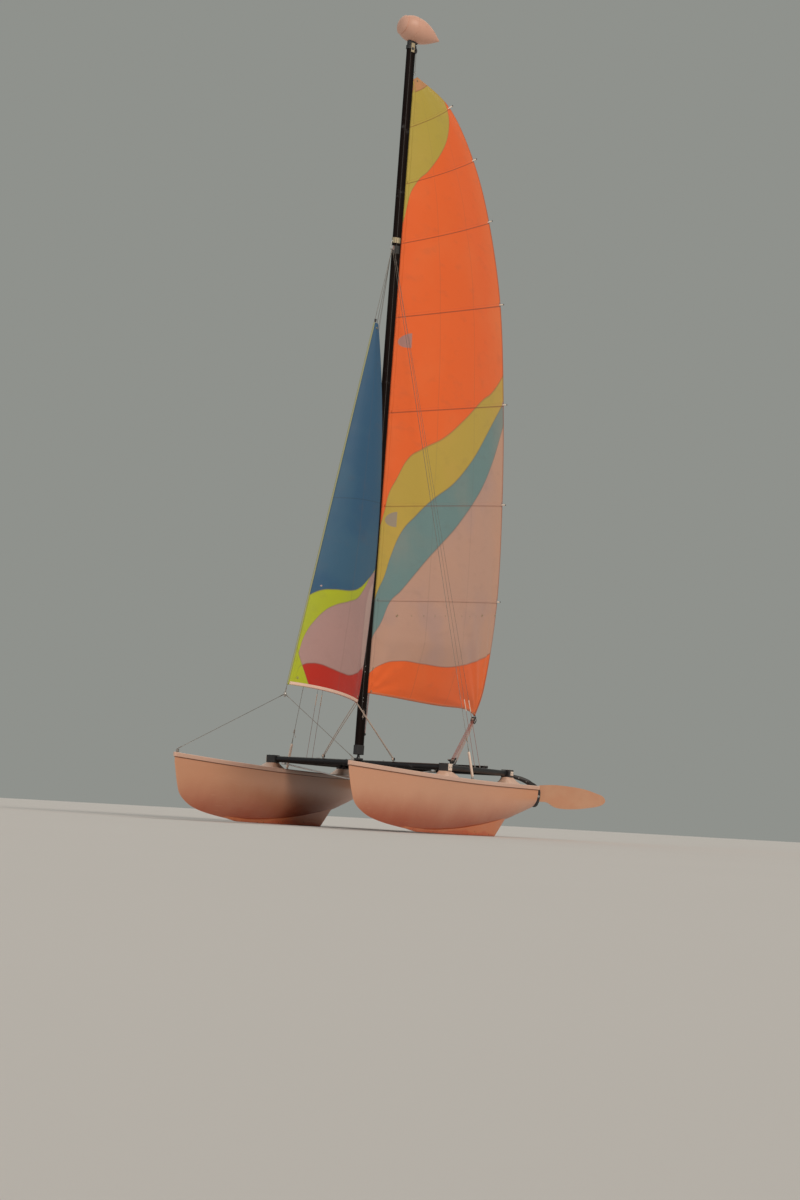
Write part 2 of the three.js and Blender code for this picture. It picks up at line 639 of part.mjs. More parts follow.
const BOW_PLATE = { aft: 60, long: 70, wide: 10, high: 34 };
const bowPlateBottom = deckSurface(BOW_PLATE.aft - BOW_PLATE.long / 2) + SEAT_GAP;
const bowPlateY = BOW_HALF_SPREAD + 3;
const bowPlate = block(BOW_PLATE.long, BOW_PLATE.wide, BOW_PLATE.high,
  vec(BOW_X - BOW_PLATE.aft, bowPlateY, bowPlateBottom + BOW_PLATE.high / 2));
const bridleFoot = vec(BOW_X - BOW_PLATE.aft, bowPlateY, bowPlateBottom + BOW_PLATE.high + STAY_RADIUS);

const chainplateAft = BOW_X - CHAINPLATE.x;
const CHAIN = { long: 40, wide: 14, high: 26 };
const chainBottom = deckSurface(chainplateAft - CHAIN.long / 2) + SEAT_GAP;
const chainplate = block(CHAIN.long, CHAIN.wide, CHAIN.high,
  vec(CHAINPLATE.x, CHAINPLATE.y, chainBottom + CHAIN.high / 2));
const shroudFoot = vec(CHAINPLATE.x, CHAINPLATE.y, chainBottom + CHAIN.high + SEAT_GAP + 2);
const sleeveTop = along(shroudFoot, staysApex, SLEEVE_LENGTH);

const forestay = (slack = 0) => rod(along(BRIDLE_APEX, staysApex, PLATE.reach - slack),
  along(staysApex, BRIDLE_APEX, APEX_REACH - slack), STAY_RADIUS + slack, 8);
const bridle = (slack = 0) =>
  rod(bridleFoot, along(BRIDLE_APEX, bridleFoot, PLATE.reach - slack), STAY_RADIUS + slack, 8);
const shroud = (slack = 0) => rod(along(sleeveTop, staysApex, SEAT_GAP),
  along(staysApex, shroudFoot, APEX_REACH - slack), STAY_RADIUS + slack, 8);

add(boat, "forestay", forestay(), STEEL);
add(boat, "bridle_plate", cut(
  join(
    plate(roundedOutline(PLATE.size, PLATE.size, 14), PLATE.thick).rotateX(Math.PI / 2),
    new THREE.SphereGeometry(PLATE.boss, 16, 12),
  ).rotateY(Math.PI / 4).translate(...BRIDLE_APEX.toArray()),
  forestay(SEAT_GAP), bridle(SEAT_GAP), mirrored(bridle(SEAT_GAP)),
), STEEL);
add(boat, "stays_shackle", cut(
  rod(...[-1, 1].map((s) => staysApex.clone().add(vec(0, (s * APEX_FITTING.wide) / 2, 0))),
    APEX_FITTING.radius, 16),
  forestay(SEAT_GAP), shroud(SEAT_GAP), mirrored(shroud(SEAT_GAP)),
), STEEL);

for (const [side, onSide] of SIDES) {
  add(boat, `${side}_bow_plate`, onSide(bowPlate), STEEL);
  add(boat, `${side}_bridle`, onSide(bridle()), STEEL);
  add(boat, `${side}_chainplate`, onSide(chainplate), STEEL);
  add(boat, `${side}_shroud_sleeve`, onSide(rod(shroudFoot, sleeveTop, SLEEVE_RADIUS, 12)),
    WHITE_PLASTIC);
  add(boat, `${side}_shroud`, onSide(shroud()), STEEL);
}

// Jib: its luff sleeve turns round the forestay.

const JIB = { tackAlong: 110, headAlong: 4560, sleeve: 9 };
const tack = along(BRIDLE_APEX, staysApex, JIB.tackAlong);
const head = along(BRIDLE_APEX, staysApex, JIB.headAlong);
const JIB_CLEW = vec(476, 144, 1358);
const JIB_LEECH_PULL = vec(394, 374, 3650); // middle control point of the leech curve
const JIB_CAMBER = 0.1;
const leechTop = head.clone().add(vec(-70, 16, 0));
const leechCurve = new THREE.QuadraticBezierCurve3(JIB_CLEW, JIB_LEECH_PULL, leechTop);
const sleeveAxis = head.clone().sub(tack).normalize();

function jibPoint(up, share) {
  const leech = leechCurve.getPoint(up);
  const axisPoint = tack.clone().lerp(head, up);
  const chord = leech.clone().sub(axisPoint);
  const luff = axisPoint.add(chord.clone().setLength(JIB.sleeve * 0.8));
  const belly = chord.clone().cross(sleeveAxis).setLength(camber(share) * JIB_CAMBER * chord.length());
  return luff.lerp(leech, share).add(belly);
}
const JIB_ROWS = 12;
const jibShares = shares.filter((_, i) => i % 2 === 0 || i === 1);
const jibGrid = Array.from({ length: JIB_ROWS + 1 }, (_, i) =>
  jibShares.map((share) => jibPoint(i / JIB_ROWS, share)));
const luffSleeve = (radius, slack) => rod(along(tack, head, -slack), along(head, tack, -slack), radius, 14);
add(boat, "jib", cut(
  join(sheet(jibGrid, SAIL_THICK), luffSleeve(JIB.sleeve, 0)),
  luffSleeve(STAY_RADIUS + SEAT_GAP + 0.4, 40),
), BLUE_CLOTH);

// Rudders. Rudder frame: origin on the pintle at floor height, +X along the tiller, +Z up.

const GUDGEON = { radius: 14, levels: [[380, 34], [560, 34]], plateZ: [372, 548], plateThick: 6 };
const pinZ = [GUDGEON.levels[0][0], GUDGEON.levels[1][0] + GUDGEON.levels[1][1]];
const transomGap = TRANSOM_X - PINTLE.x;

const gudgeons = join(
  block(GUDGEON.plateThick, 60, GUDGEON.plateZ[1] - GUDGEON.plateZ[0],
    vec(transomGap - SEAT_GAP - GUDGEON.plateThick / 2, 0, (GUDGEON.plateZ[0] + GUDGEON.plateZ[1]) / 2)),
  ...GUDGEON.levels.map(([z, high], i) => {
    const level = z + (i ? -high : 0);
    return join(
      rod(vec(0, 0, level), vec(0, 0, level + high), GUDGEON.radius, 14),
      block(transomGap - SEAT_GAP - 2, 20, high, vec((transomGap - SEAT_GAP - 2) / 2, 0, level + high / 2)),
    );
  }),
  rod(vec(0, 0, pinZ[0]), vec(0, 0, GUDGEON.levels[1][0]), 5, 10),
);

// The head: a spine and two cheeks, which clasp the root of the blade.
const HEAD = { spineNear: 18, spineFar: 29, halfWide: 22, cheek: 8, low: 405, high: 628 };
const barrelLow = GUDGEON.levels[0][0] + GUDGEON.levels[0][1] + SEAT_GAP;
const barrelHigh = GUDGEON.levels[1][0] - GUDGEON.levels[1][1] - SEAT_GAP;
// The cheeks' crescent outline. Columns: aft of the pintle, height.
const CHEEK_OUTLINE = [
  [27, 368], [44, 361], [62, 363], [84, 380], [100, 415], [109, 452], [113, 492], [114, 540], [106, 574],
  [87, 601], [60, 624], [29, 643], [-20, 664], [-24, 618], [18, 584], [27, 556],
];
// The arm over the transom, which narrows into the tiller. Columns: ahead of the pintle, height,
// tall, wide.
const ARM_STATIONS = [
  [-16, 614, 52, 38], [16, 637, 59, 38], [48, 654, 60, 38], [125, 684, 54, 36], [220, 706, 44, 34],
  [320, 722, 36, 34], [450, 743, 34, 34], [TILLER_REACH, TILLER_END_Z - 20, 34, 34],
];

function tillerArm() {
  const path = new THREE.CatmullRomCurve3(ARM_STATIONS.map(([x, z]) => vec(x, 0, z)));
  return loft(ARM_STATIONS.map(([x, z, tall, wide], i) => {
    const run = path.getTangent(i / (ARM_STATIONS.length - 1));
    return Array.from({ length: 14 }, (_, k) => {
      const [up, side] = [(tall / 2) * Math.sin((k * Math.PI) / 7), Math.cos((k * Math.PI) / 7)];
      return vec(x - run.z * up, (side * wide) / 2, z + run.x * up);
    });
  }));
}

const TIE_PIN_REACH = TILLER_REACH - 18;
const kickPin = (radius) => rod(vec(-KICK_PIVOT.aft, -HEAD.halfWide, KICK_PIVOT.z),
  vec(-KICK_PIVOT.aft, HEAD.halfWide, KICK_PIVOT.z), radius, 16);
const cheekShape = new THREE.Shape(CHEEK_OUTLINE.map(([aft, z]) => new THREE.Vector2(aft, z)));
const rudderHead = cut(
  join(
    block(HEAD.spineFar - HEAD.spineNear, 2 * HEAD.halfWide, HEAD.high - HEAD.low,
      vec(-(HEAD.spineNear + HEAD.spineFar) / 2, 0, (HEAD.low + HEAD.high) / 2)),
    ...[1, -1].map((s) => plate(cheekShape, HEAD.cheek).rotateX(Math.PI / 2).rotateZ(Math.PI)
      .translate(0, s * (HEAD.halfWide - HEAD.cheek / 2), 0)),
    rod(vec(0, 0, barrelLow), vec(0, 0, barrelHigh), GUDGEON.radius, 14),
    block(HEAD.spineNear + 2, 18, barrelHigh - barrelLow,
      vec(-(HEAD.spineNear + 2) / 2, 0, (barrelLow + barrelHigh) / 2)),
    tillerArm(),
    rod(vec(TIE_PIN_REACH, 0, TILLER_END_Z - 30), vec(TIE_PIN_REACH, 0, TILLER_END_Z), 12, 12),
    kickPin(KICK_PIVOT.pin),
  ),
  rod(vec(0, 0, barrelLow - 5), vec(0, 0, barrelHigh + 5), 5 + SEAT_GAP + 0.2, 12),
);

// The blade kicked up: its tip looks aft, its fore edge down. Its root is round about the kick pivot and
// its neck narrow, so that both pass the spine as the blade swings down.
const NECK_END = KICK_PIVOT.aft + KICK_PIVOT.z - HEAD.low;
const NECK_Z = KICK_PIVOT.z - KICK_PIVOT.clear;
// From the belly of the lower edge round the tip to the root. Columns: aft of the pintle, height.
const BLADE_EDGE = [
  [417, 358], [530, 363], [640, 376], [787, 405], [858, 433], [892, 476], [864, 528], [780, 562],
  [618, 606], [403, 629], [240, 632], [104, 620],
];
const bladeOutline = new THREE.Shape();
bladeOutline.moveTo(KICK_PIVOT.aft, NECK_Z);
bladeOutline.lineTo(NECK_END, NECK_Z);
bladeOutline.bezierCurveTo(NECK_END + 40, NECK_Z, 265, 366, 330, 364);
bladeOutline.splineThru(BLADE_EDGE.map(([aft, z]) => new THREE.Vector2(aft, z)));
bladeOutline.quadraticCurveTo(62, 592, KICK_PIVOT.aft - KICK_PIVOT.clear + 3, 540);
bladeOutline.lineTo(KICK_PIVOT.aft - KICK_PIVOT.clear, KICK_PIVOT.z);
bladeOutline.absarc(KICK_PIVOT.aft, KICK_PIVOT.z, KICK_PIVOT.clear, Math.PI, 1.5 * Math.PI);
const blade = cut(plate(bladeOutline, BLADE_THICK, 4).rotateX(Math.PI / 2).rotateZ(Math.PI),
  kickPin(KICK_PIVOT.pin + SEAT_GAP));

const tieBarEnds = [];
for (const [side, sign] of [["port", 1], ["starboard", -1]]) {
  const pintle = new THREE.Group();
  pintle.position.set(PINTLE.x, sign * PINTLE.y, 0);
  boat.add(pintle);
  add(pintle, `${side}_gudgeons`, gudgeons, BLACK_MOULDING);
  const turned = new THREE.Group();
  turned.rotation.z = RUDDER_TURN;
  pintle.add(turned);
  add(turned, `${side}_rudder_head`, rudderHead, BLACK_MOULDING);
  add(turned, `${side}_rudder_blade`, blade, CREAM_GELCOAT);
  tieBarEnds.push(vec(
    PINTLE.x + TIE_PIN_REACH * Math.cos(RUDDER_TURN),
    sign * PINTLE.y + TIE_PIN_REACH * Math.sin(RUDDER_TURN),
    TILLER_END_Z + TIE_BAR_RADIUS + SEAT_GAP,
  ));
}

// The bar that ties the two tillers, and the hiking stick stowed along it.
const [tiePort, tieStarboard] = tieBarEnds;
const TIE_OVERHANG = vec(0, 30, 0);
add(boat, "tiller_tie_bar",
  rod(tieStarboard.clone().sub(TIE_OVERHANG), tiePort.clone().add(TIE_OVERHANG), TIE_BAR_RADIUS, 12),
  BLACK_ALLOY);
const STICK = { radius: 12, portEnd: -480, starboardEnd: -1500 };
const stickX = tiePort.x + TIE_BAR_RADIUS + STICK.radius + SEAT_GAP;
const stickEnds = [STICK.portEnd, STICK.starboardEnd].map((y) => vec(stickX, y, tiePort.z));
add(boat, "tiller_extension", rod(...stickEnds, STICK.radius, 10), BLACK_ALLOY);

// The part's own frame: the middle of its footprint on the floor.
boat.updateMatrixWorld(true);
const reach = new THREE.Box3().setFromObject(boat);
const middle = reach.getCenter(vec());
boat.position.set(-middle.x, -middle.y, -reach.min.z);

export default boat;
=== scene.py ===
"""The looks of a beach catamaran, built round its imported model: hulls, frame, rig, sails, rudders.

Shapes are worked out in the boat's own frame in millimetres: +X forward, +Y port, +Z up, X = 0 at
half length and Z = 0 at the floor. Only place() turns that into the row's metres.
"""

import json
import logging
import math
from dataclasses import dataclass
from enum import Enum
from typing import Any, ClassVar, Sequence

import bmesh
import bpy
import numpy as np
from mathutils import Matrix, Vector

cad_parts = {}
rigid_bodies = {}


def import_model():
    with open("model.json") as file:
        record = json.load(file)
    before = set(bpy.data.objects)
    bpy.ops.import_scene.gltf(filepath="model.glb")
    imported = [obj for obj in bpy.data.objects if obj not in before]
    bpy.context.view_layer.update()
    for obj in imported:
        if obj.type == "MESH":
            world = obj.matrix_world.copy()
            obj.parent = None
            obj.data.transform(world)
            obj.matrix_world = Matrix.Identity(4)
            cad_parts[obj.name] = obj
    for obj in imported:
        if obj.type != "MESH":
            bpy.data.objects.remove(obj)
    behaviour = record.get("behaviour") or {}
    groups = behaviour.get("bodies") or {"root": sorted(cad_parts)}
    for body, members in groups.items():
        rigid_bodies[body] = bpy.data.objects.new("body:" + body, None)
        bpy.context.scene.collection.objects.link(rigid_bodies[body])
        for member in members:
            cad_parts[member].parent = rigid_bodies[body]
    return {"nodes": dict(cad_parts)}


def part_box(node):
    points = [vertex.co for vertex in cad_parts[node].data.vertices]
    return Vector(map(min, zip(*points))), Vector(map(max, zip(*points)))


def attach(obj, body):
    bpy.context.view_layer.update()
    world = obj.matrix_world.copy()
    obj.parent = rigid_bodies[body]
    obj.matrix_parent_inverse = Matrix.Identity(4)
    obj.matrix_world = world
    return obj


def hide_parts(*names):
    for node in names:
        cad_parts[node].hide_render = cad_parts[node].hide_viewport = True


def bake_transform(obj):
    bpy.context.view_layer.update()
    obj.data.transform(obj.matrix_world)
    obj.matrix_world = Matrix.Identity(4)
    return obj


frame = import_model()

log = logging.getLogger("catamaran")
Piece = bpy.types.Object
Points = np.ndarray
Pair = tuple[float, float]
Triple = tuple[float, float, float]
Colour = Triple
Spots = Sequence[tuple[Any, Any]]

MM = 0.001
HULL_LENGTH = 5000.0
WELD = 1e-5
WAVES = 1000 / 6.28  # Scale of a wave texture whose stripes lie a millimetre apart.
_PORT_HULL, _STARBOARD_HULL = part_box("port_hull"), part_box("starboard_hull")
ORIGIN = np.array([_PORT_HULL[0].x + HULL_LENGTH / 2 * MM, (_PORT_HULL[1].y + _STARBOARD_HULL[0].y) / 2, 0.0])


def place(points: Any) -> Points:
    """Boat millimetres turned into the row's metres."""
    return np.asarray(points, float) * MM + ORIGIN


class Side(Enum):
    """The two sides of the boat, with the sign of their Y."""

    PORT = 1
    STARBOARD = -1

    @property
    def word(self) -> str:
        """The word that starts the names of this side's pieces."""
        return self.name.lower()


# Node trees


class Wire:
    """An output socket that takes part in arithmetic: each operator adds a Math node."""

    def __init__(self, tree: "Tree", socket: bpy.types.NodeSocket) -> None:
        """Keeps the tree and the socket."""
        self.tree, self.socket = tree, socket

    def math(self, operation: str, *others: Any) -> "Wire":
        """One Math node with this value as its first operand."""
        return self.tree.maths(operation, self, *others)

    def __add__(self, other: Any) -> "Wire":
        """Sum."""
        return self.math("ADD", other)

    __radd__ = __add__

    def __sub__(self, other: Any) -> "Wire":
        """Difference."""
        return self.math("SUBTRACT", other)

    def __rsub__(self, other: Any) -> "Wire":
        """Difference from a number."""
        return self.tree.maths("SUBTRACT", other, self)

    def __mul__(self, other: Any) -> "Wire":
        """Product."""
        return self.math("MULTIPLY", other)

    def __truediv__(self, other: Any) -> "Wire":
        """Quotient."""
        return self.math("DIVIDE", other)

    def step(self, low: float, high: float) -> "Wire":
        """A smooth step from 0 at low to 1 at high; it falls where high is the lower one.

        Args:
            low: Value where the step is 0.
            high: Value where the step is 1.

        Returns:
            The step's height.
        """
        (low, first), (high, last) = sorted(((low, 0.0), (high, 1.0)))
        return self.tree.node("ShaderNodeMapRange", {0: self, 1: low, 2: high, 3: first, 4: last},
                              interpolation_type="SMOOTHSTEP")

    def band(self, centre: Any, half: float, soft: float) -> "Wire":
        """1 within half of the centre, falling to 0 over soft."""
        return (self - centre).math("ABSOLUTE").step(half + soft, half)


class Tree:
    """A node tree that is filled through one method."""

    def __init__(self, nodes: bpy.types.NodeTree) -> None:
        """Keeps the tree of nodes."""
        self.nodes = nodes

    def node(self, kind: str, inputs: dict[Any, Any] | None = None, output: Any = 0, **settings: Any) -> Wire:
        """Adds one node.

        Args:
            kind: The node's type.
            inputs: Values or wires by socket name or number.
            output: Which output comes back.
            settings: Its settings; "curve" gives a float curve's points.

        Returns:
            That output.
        """
        made = self.nodes.nodes.new(kind)
        for key, value in settings.items():
            if key == "curve":
                self._bend(made, value)
            else:
                setattr(made, key, value)
        for key, value in (inputs or {}).items():
            if isinstance(value, Wire):
                self.nodes.links.new(value.socket, made.inputs[key])
            else:
                made.inputs[key].default_value = value
        return Wire(self, made.outputs[output] if made.outputs else made.inputs[0])

    @staticmethod
    def _bend(made: bpy.types.Node, knots: Sequence[Pair]) -> None:
        """Puts a float curve's points in.

        Args:
            made: The curve node.
            knots: Its points, left to right.
        """
        line = made.mapping.curves[0]
        while len(line.points) < len(knots):
            line.points.new(0.5, 0.5)
        for point, (x, y) in zip(line.points, knots):
            point.location = (x, y)
        made.mapping.use_clip = False
        made.mapping.update()

    def maths(self, operation: str, *operands: Any) -> Wire:
        """One Math node."""
        return self.node("ShaderNodeMath", dict(enumerate(operands)), operation=operation)


class ShaderTree(Tree):
    """The nodes of one material."""

    def __init__(self, name: str) -> None:
        """Makes an empty material.

        Args:
            name: The material's name.
        """
        self.material = bpy.data.materials.new(name)
        self.material.use_nodes = True
        self.material.node_tree.nodes.clear()
        super().__init__(self.material.node_tree)
        self.here = self.node("ShaderNodeTexCoord", output="Object")

    def axis(self, vector: Wire, name: str) -> Wire:
        """One axis of a vector."""
        return self.node("ShaderNodeSeparateXYZ", {0: vector}, name)

    def stretched(self, scale: Triple, turn: float = 0.0) -> Wire:
        """The place on the piece with its axes stretched, and turned about Z."""
        return self.node("ShaderNodeMapping", {0: self.here, "Scale": scale, "Rotation": (0, 0, turn)})

    def noise(self, scale: float, detail: float = 2.0, vector: Wire | None = None) -> Wire:
        """Noise of that scale a metre, from 0 to 1."""
        return self.node("ShaderNodeTexNoise", {"Vector": vector or self.here, "Scale": scale, "Detail": detail})

    def mix(self, share: Any, first: Any, second: Any) -> Wire:
        """A colour between two, each a colour or a wire: share 0 gives the first, 1 the second."""
        first, second = ((*c, 1.0) if isinstance(c, tuple) else c for c in (first, second))
        return self.node("ShaderNodeMix", {0: share, 6: first, 7: second}, 2, data_type="RGBA", clamp_factor=True)

    def attribute(self, name: str, output: str = "Fac") -> Wire:
        """An attribute that the piece's mesh holds."""
        return self.node("ShaderNodeAttribute", None, output, attribute_name=name)

    def surface(self, colour: Any, roughness: Any, metallic: Any = 0.0, height: Wire | None = None,
                depth: float = 1.0, **constants: float) -> None:
        """Ends the material.

        Args:
            colour: Base colour.
            roughness: Roughness.
            metallic: Metallic share.
            height: Relief from 0 to 1, if any.
            depth: What 1 of the relief is, in millimetres.
            constants: Other sockets of the surface, with underscores for spaces.
        """
        inputs = {"Base Color": (*colour, 1.0) if isinstance(colour, tuple) else colour,
                  "Roughness": roughness, "Metallic": metallic}
        inputs.update({key.replace("_", " "): value for key, value in constants.items()})
        if height is not None:
            inputs["Normal"] = self.node("ShaderNodeBump", {"Distance": depth * MM, "Height": height})
        shaded = self.node("ShaderNodeBsdfPrincipled", inputs)
        self.node("ShaderNodeOutputMaterial", {0: shaded})


class GeometryTree(Tree):
    """A Geometry Nodes tree with named inputs, which turns a piece's bare mesh into the finished one."""

    KINDS = {float: "NodeSocketFloat", int: "NodeSocketInt", bool: "NodeSocketBool"}

    def __init__(self, name: str, sizes: dict[str, Any]) -> None:
        """Makes the tree and its inputs.

        Args:
            name: The tree's name.
            sizes: Input names with their default values.
        """
        group = bpy.data.node_groups.new(name, "GeometryNodeTree")
        super().__init__(group)
        face = group.interface
        face.new_socket("Geometry", in_out="INPUT", socket_type="NodeSocketGeometry")
        self.ids = {}
        for label, value in sizes.items():
            socket = face.new_socket(label, in_out="INPUT", socket_type=self.KINDS[type(value)])
            socket.default_value = value
            self.ids[label] = socket.identifier
        self.ids["Finish"] = face.new_socket("Finish", in_out="INPUT", socket_type="NodeSocketMaterial").identifier
        face.new_socket("Geometry", in_out="OUTPUT", socket_type="NodeSocketGeometry")
        self.entry = group.nodes.new("NodeGroupInput")

    def size(self, label: str) -> Wire:
        """One of the tree's inputs."""
        return Wire(self, self.entry.outputs[label])

    def close(self, geometry: Wire) -> None:
        """Ends the tree with Realize Instances and Set Material.

        Args:
            geometry: What the tree has built.
        """
        real = self.node("GeometryNodeRealizeInstances", {0: geometry})
        self.node("NodeGroupOutput", {0: self.node(
            "GeometryNodeSetMaterial", {0: real, "Material": self.size("Finish")})})

    def grow(self, obj: Piece, finish: bpy.types.Material, **values: Any) -> Piece:
        """Runs the tree on an object and leaves a plain mesh.

        Args:
            obj: The object with the bare mesh.
            finish: The material of the result.
            values: Sizes by input name, with underscores for spaces.

        Returns:
            The same object.
        """
        modifier = obj.modifiers.new("grow", "NODES")
        modifier.node_group = self.nodes
        modifier[self.ids["Finish"]] = finish
        for label, value in values.items():
            modifier[self.ids[label.replace("_", " ")]] = value
        bpy.context.view_layer.update()
        grown = bpy.data.meshes.new_from_object(obj.evaluated_get(bpy.context.evaluated_depsgraph_get()))
        obj.modifiers.remove(modifier)
        before, obj.data = obj.data, grown
        bpy.data.meshes.remove(before)
        return obj


class TurnedTree(GeometryTree):
    """A round section along lines: ropes, wires and turned bodies, as thick as the points' girth says."""

    def __init__(self) -> None:
        """Builds the tree."""
        super().__init__("turned", {"Sides": 10, "Caps": True})
        line = self.node("GeometryNodeMeshToCurve", {0: self.size("Geometry")})
        line = self.node("GeometryNodeStoreNamedAttribute", {
            0: line, "Name": "along", "Value": self.node("GeometryNodeSplineParameter", output="Length")},
            data_type="FLOAT", domain="POINT")
        ring = self.node("GeometryNodeCurvePrimitiveCircle", {0: self.size("Sides"), "Radius": 1.0})
        ring = self.node("GeometryNodeStoreNamedAttribute", {
            0: ring, "Name": "spin", "Value": self.node("GeometryNodeInputPosition")},
            data_type="FLOAT_VECTOR", domain="POINT")
        girth = self.node("GeometryNodeInputNamedAttribute", {0: "girth"}, data_type="FLOAT")
        tube = self.node("GeometryNodeCurveToMesh", {
            0: line, 1: ring, "Scale": girth, "Fill Caps": self.size("Caps")})
        self.close(self.node("GeometryNodeSetShadeSmooth", {0: tube}))


class Fixing(Enum):
    """What a fixing tree sets on each of its points."""

    BOLT = "hexagon head on a washer"
    SCREW = "low round head"
    EYELET = "pressed ring"
    PLUG = "knurled cap"


class FixingTree(GeometryTree):
    """Sets a small fixing on each point of a mesh, standing along the points' facing."""

    def __init__(self, kind: Fixing) -> None:
        """Builds the tree.

        Args:
            kind: What stands on each point.
        """
        super().__init__(f"fixing {kind.name.lower()}", {"Radius": 0.006, "Height": 0.005})
        radius, height = self.size("Radius"), self.size("Height")
        if kind is Fixing.EYELET:
            hoop = self.node("GeometryNodeCurvePrimitiveCircle", {0: 16, "Radius": radius})
            bead = self.node("GeometryNodeCurvePrimitiveCircle", {0: 6, "Radius": height})
            shape = self.node("GeometryNodeCurveToMesh", {0: hoop, 1: bead})
        else:
            sides, crown = {Fixing.BOLT: (6, 0.86), Fixing.SCREW: (14, 0.6), Fixing.PLUG: (20, 0.9)}[kind]
            head = self.node("GeometryNodeMeshCone", {
                "Vertices": sides, "Radius Top": radius * crown, "Radius Bottom": radius, "Depth": height})
            foot = self.node("GeometryNodeMeshCylinder", {
                "Vertices": 20, "Radius": radius * 1.5, "Depth": height * 0.3})
            shape = self.node("GeometryNodeJoinGeometry")
            for piece in (head, foot):
                self.nodes.links.new(piece.socket, shape.socket.node.inputs[0])
        facing = self.node("GeometryNodeInputNamedAttribute", {0: "facing"}, data_type="FLOAT_VECTOR")
        turned = self.node("FunctionNodeAlignRotationToVector", {"Vector": facing}, axis="Z")
        self.close(self.node("GeometryNodeInstanceOnPoints", {
            0: self.size("Geometry"), "Instance": shape, "Rotation": turned}))


# Meshes


def linked(name: str, data: Any) -> Piece:
    """A new object of the scene with that data.

    Args:
        name: Its name.
        data: A mesh, a camera or a light.

    Returns:
        The object.
    """
    obj = bpy.data.objects.new(name, data)
    bpy.context.scene.collection.objects.link(obj)
    return obj


def bare(name: str, points: Points, faces: Sequence[Sequence[int]] = (),
         edges: Sequence[Sequence[int]] = ()) -> Piece:
    """A linked mesh object.

    Args:
        name: The piece's name.
        points: Boat millimetres.
        faces: Corner numbers of each face.
        edges: Edges that belong to no face.

    Returns:
        The object.
    """
    mesh = bpy.data.meshes.new(name)
    mesh.from_pydata(place(points).tolist(), list(edges), [list(map(int, face)) for face in faces])
    return linked(name, mesh)


def smooth(obj: Piece, angle: float = 35.0) -> Piece:
    """Welds a closed mesh, points its faces out and shades it smooth up to an angle.

    Args:
        obj: The piece.
        angle: Edges sharper than this many degrees stay sharp.

    Returns:
        The same object.
    """
    work = bmesh.new()
    work.from_mesh(obj.data)
    bmesh.ops.remove_doubles(work, verts=work.verts, dist=WELD)
    bmesh.ops.recalc_face_normals(work, faces=work.faces)
    work.to_mesh(obj.data)
    work.free()
    obj.data.polygons.foreach_set("use_smooth", [True] * len(obj.data.polygons))
    obj.data.set_sharp_from_angle(angle=math.radians(angle))
    return obj


def skin(sections: Points) -> tuple[Points, list[list[int]]]:
    """A closed body through a row of closed sections.

    Args:
        sections: Points by section, place in the section, and axis.

    Returns:
        Points and faces.
    """
    rows, count = sections.shape[:2]
    around = np.arange(count)
    after = (around + 1) % count
    faces = []
    for row in range(rows - 1):
        low, high = row * count, (row + 1) * count
        faces += np.stack([low + around, low + after, high + after, high + around], 1).tolist()
    faces += [around[::-1].tolist(), (around + (rows - 1) * count).tolist()]
    return sections.reshape(-1, 3), faces


def solid(name: str, sections: Any, angle: float = 35.0) -> Piece:
    """A piece through a row of closed sections, shaded smooth up to an angle."""
    return smooth(bare(name, *skin(np.asarray(sections, float))), angle)


def cloth(name: str, grid: Points, across: Any, up: Any) -> Piece:
    """A single sheet through a grid of points, with its cut laid out as a UV map.

    Args:
        name: The piece's name.
        grid: Points by row, column and axis.
        across: Each point's place across the cut.
        up: Each point's place up the cut.

    Returns:
        The object.
    """
    rows, cols = grid.shape[:2]
    first = (np.arange(rows - 1)[:, None] * cols + np.arange(cols - 1)).ravel()
    obj = bare(name, grid.reshape(-1, 3), np.stack([first, first + 1, first + cols + 1, first + cols], 1))
    flat = np.stack(np.broadcast_arrays(across, up, grid[..., 0])[:2], -1)
    corners = np.zeros(len(obj.data.loops), int)
    obj.data.loops.foreach_get("vertex_index", corners)
    layer = obj.data.uv_layers.new(name="cut")
    layer.data.foreach_set("uv", flat.reshape(-1, 2)[corners].ravel())
    obj.data.polygons.foreach_set("use_smooth", [True] * len(obj.data.polygons))
    return obj


def hold(obj: Piece, kind: str, **settings: Any) -> Piece:
    """Adds a modifier whose render level is its shown level.

    Args:
        obj: The piece.
        kind: The modifier's type.
        settings: Its settings.

    Returns:
        The same object.
    """
    modifier = obj.modifiers.new(kind.lower(), kind)
    for key, value in settings.items():
        setattr(modifier, key, value)
    return obj


def thick(obj: Piece, millimetres: float) -> Piece:
    """Gives a sheet its thickness, half to each side."""
    return hold(obj, "SOLIDIFY", thickness=millimetres * MM, offset=0.0)


def broken(obj: Piece, millimetres: float, segments: int = 2) -> Piece:
    """Breaks a body's sharp edges."""
    return hold(obj, "BEVEL", width=millimetres * MM, segments=segments, limit_method="ANGLE",
                angle_limit=math.radians(32), use_clamp_overlap=True, harden_normals=True)


def boxes(name: str, blocks: Spots, edge: float) -> Piece:
    """Blocks with broken edges, in one piece.

    Args:
        name: The piece's name.
        blocks: Lowest and highest corner of each.
        edge: Width of the broken edges.

    Returns:
        The object.
    """
    points, faces = [], []
    for low, high in blocks:
        start = len(points)
        points += [[(low, high)[i][0], (low, high)[j][1], (low, high)[k][2]]
                   for i in (0, 1) for j in (0, 1) for k in (0, 1)]
        faces += [[start + c for c in face] for face in (
            (0, 1, 3, 2), (4, 6, 7, 5), (0, 4, 5, 1), (2, 3, 7, 6), (0, 2, 6, 4), (1, 5, 7, 3))]
    return broken(smooth(bare(name, np.array(points, float), faces)), edge)


